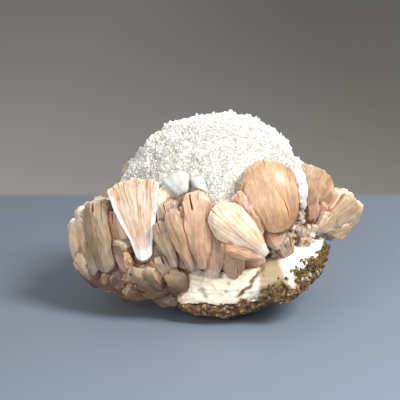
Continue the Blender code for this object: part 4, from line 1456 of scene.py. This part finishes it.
def make_floor():
    """A satin table top that turns from blue-grey to grey behind the specimen, with painted light and
    shade from left to right.
    """
    shape = bmesh.new()
    bmesh.ops.create_grid(shape, x_segments=1, y_segments=1, size=FLOOR_HALF * MM)
    floor = add_object("floor", as_mesh(shape, "floor"))
    finish = Finish("table_top")
    tree = finish.tree
    x, y, _ = tree.parts(finish.place)
    # Painted light and shade: in front the table is lighter to the right, behind it is darker to the
    # right.
    painted_light_across = tree.ramp(x, -110.0, 110.0, smooth=False)
    near_left, near_right = rgb(0.15, 0.185, 0.24), rgb(0.203, 0.255, 0.34)
    far_left, far_right = rgb(0.295, 0.295, 0.295), rgb(0.165, 0.165, 0.15)
    near = tree.paint(painted_light_across, near_left, near_right)
    far = tree.paint(painted_light_across, far_left, far_right)
    finish.set(Base_Color=tree.paint(tree.ramp(y, *HORIZON), near, far), Roughness=0.55)
    coat(floor.data, finish.material)


def add_area_light(name, place, size, power, colour):
    """A round soft light of that size in millimetres, turned to the specimen."""
    light = bpy.data.lights.new(name, "AREA")
    light.shape = "DISK"
    light.size = size * MM
    light.energy = power
    light.color = colour
    lamp = add_object(name, light)
    lamp.location = Vector(place) * MM
    lamp.rotation_euler = (Vector(place) - Vector(LIGHT_AIM)).to_track_quat("Z", "Y").to_euler()


def set_studio():
    """The camera, the world, two lights and the table top."""
    camera_data = bpy.data.cameras.new("photo_view")
    camera_data.sensor_width = SENSOR_WIDTH
    camera_data.lens = SENSOR_WIDTH * VIEW_DISTANCE / VIEW_WIDTH
    camera = add_object("photo_view", camera_data)
    back = Vector((0.0, -math.cos(VIEW_ANGLE), math.sin(VIEW_ANGLE)))
    camera.location = (VIEW_AIM + back * VIEW_DISTANCE) * MM
    camera.rotation_euler = (math.pi / 2 - VIEW_ANGLE, 0.0, 0.0)
    bpy.context.scene.camera = camera

    world = bpy.data.worlds.new("studio")
    world.use_nodes = True
    background = world.node_tree.nodes["Background"]
    background.inputs["Color"].default_value = rgb(1.0, 0.975, 0.94)
    background.inputs["Strength"].default_value = 0.38
    bpy.context.scene.world = world
    bpy.context.scene.view_settings.view_transform = "Standard"

    add_area_light("key", (330.0, -330.0, 470.0), size=260.0, power=6.3, colour=(1.0, 0.965, 0.91))
    add_area_light("fill", (-220.0, -520.0, 200.0), size=420.0, power=2.1, colour=(1.0, 0.99, 0.97))
    make_floor()


# The stilbite's tones: a light and a body colour, the colour of its stained threads, which also paints
# shade on its grooves and back blades, its lustre, and how striped it is.
TONES = {
    "cream": ((0.88, 0.68, 0.47), (0.76, 0.50, 0.32), (0.58, 0.31, 0.16), 0.15, 0.3),
    "fan": ((0.74, 0.555, 0.38), (0.60, 0.40, 0.27), (0.46, 0.19, 0.07), 0.15, 1.1),
    "peach": ((0.61, 0.36, 0.20), (0.545, 0.305, 0.16), (0.47, 0.235, 0.115), 0.12, 0.12),
    "amber": ((0.53, 0.325, 0.18), (0.435, 0.24, 0.125), (0.36, 0.175, 0.08), 0.12, 0.4),
    "rose": ((0.62, 0.365, 0.22), (0.515, 0.27, 0.15), (0.42, 0.18, 0.09), 0.12, 0.4),
    "tan": ((0.51, 0.355, 0.215), (0.39, 0.24, 0.135), (0.30, 0.155, 0.075), 0.12, 0.4),
    "bed": ((0.40, 0.27, 0.16), (0.32, 0.195, 0.105), (0.25, 0.13, 0.065), 0.1, 0.25),
    "pearl": ((0.70, 0.66, 0.63), (0.60, 0.49, 0.44), (0.44, 0.26, 0.19), 0.12, 0.7),
    "rust": ((0.46, 0.22, 0.14), (0.30, 0.11, 0.06), (0.16, 0.05, 0.02), 0.12, 0.4),
}
# The first seed of the large sheaves and the step to the next one's, and that of the small sheaves.
SHEAF_SEED, SHEAF_SEED_STEP = 11, 7
FILLER_SEED = 400


def build():
    """Makes the specimen, piece by piece."""
    groups = {"growth_lines": growth_lines(), "weathering": weathering()}
    fan_tree = fan_of_blades()
    scatter = scattered_crystals()
    tones = {
        tone: stilbite_finish(tone, rgb(*light), rgb(*body), rgb(*thread), lustre, striped, groups)
        for tone, (light, body, thread, lustre, striped) in TONES.items()
    }
    sheaves = [
        grow_fan(fan, fan_tree, tones[fan.tone], SHEAF_SEED + SHEAF_SEED_STEP * number)
        for number, fan in enumerate(FANS)
    ]
    fillers = [
        grow_fan(fan, fan_tree, tones[fan.tone], FILLER_SEED + number)
        for number, fan in enumerate(GAP_FANS + LOW_FANS)
    ]

    # The small shapes that are scattered. Rows are pairs of height and radius.
    grain = crystal_shape("grain", ((-0.5, 1.0), (1.0, 0.55)))
    needle = crystal_shape("needle", ((-0.3, 1.0), (0.75, 0.85), (1.0, 0.30)))
    block = crystal_shape("block", ((-0.4, 0.9), (0.8, 0.9), (1.0, 0.6)))
    small_sheaf = small_sheaf_shape()
    granule = granule_shape()

    make_dome(scatter, scolecite_finish(groups), grain, needle)
    make_nub(smooth_scolecite_finish(groups))
    bed = make_bed(scatter, bed_finish(groups), small_sheaf)
    make_glassy_blocks(scatter, glassy_finish(groups), block, bed)
    matrix = make_base(chalk_finish(groups))
    shingles = bed_sheaves(fan_tree, tones["bed"], bed, matrix)
    ring = ring_sheaves(fan_tree, tones)
    mark_crevices(sheaves + fillers + shingles + ring, [bed, matrix])
    slots = {part["node"]: part["material_slot"] for part in FRAME["record"]["subparts"]}
    for fan, sheaf in zip(FANS, sheaves):
        finish_piece(sheaf, slots["stilbite_" + fan.name], "stilbite_" + fan.name)
    for sheaf in fillers:
        finish_piece(sheaf, "stilbite_bed")
    for name, pieces in (("bed_sheaves", shingles), ("ring_sheaves", ring)):
        finish_piece(joined(name, pieces), "stilbite_bed", "stilbite_bed")

    basalt = basalt_finish(groups)
    make_rind(basalt)
    make_soil(scatter, basalt, granule, matrix)
    olive = celadonite_finish(groups)
    make_crust("celadonite_crust", scatter, olive, granule, matrix, 21)
    make_crust("celadonite_speck", scatter, olive, granule, matrix, 22)
    for shape in (grain, needle, block, small_sheaf, granule):
        bpy.data.objects.remove(shape)


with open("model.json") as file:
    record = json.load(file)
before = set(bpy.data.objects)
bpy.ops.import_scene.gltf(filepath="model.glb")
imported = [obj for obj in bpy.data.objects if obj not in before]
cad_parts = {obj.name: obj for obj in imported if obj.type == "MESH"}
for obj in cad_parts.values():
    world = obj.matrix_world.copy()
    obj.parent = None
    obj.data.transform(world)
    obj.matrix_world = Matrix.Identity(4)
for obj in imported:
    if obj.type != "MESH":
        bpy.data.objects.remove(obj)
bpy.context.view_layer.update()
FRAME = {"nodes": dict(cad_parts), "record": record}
set_studio()
build()
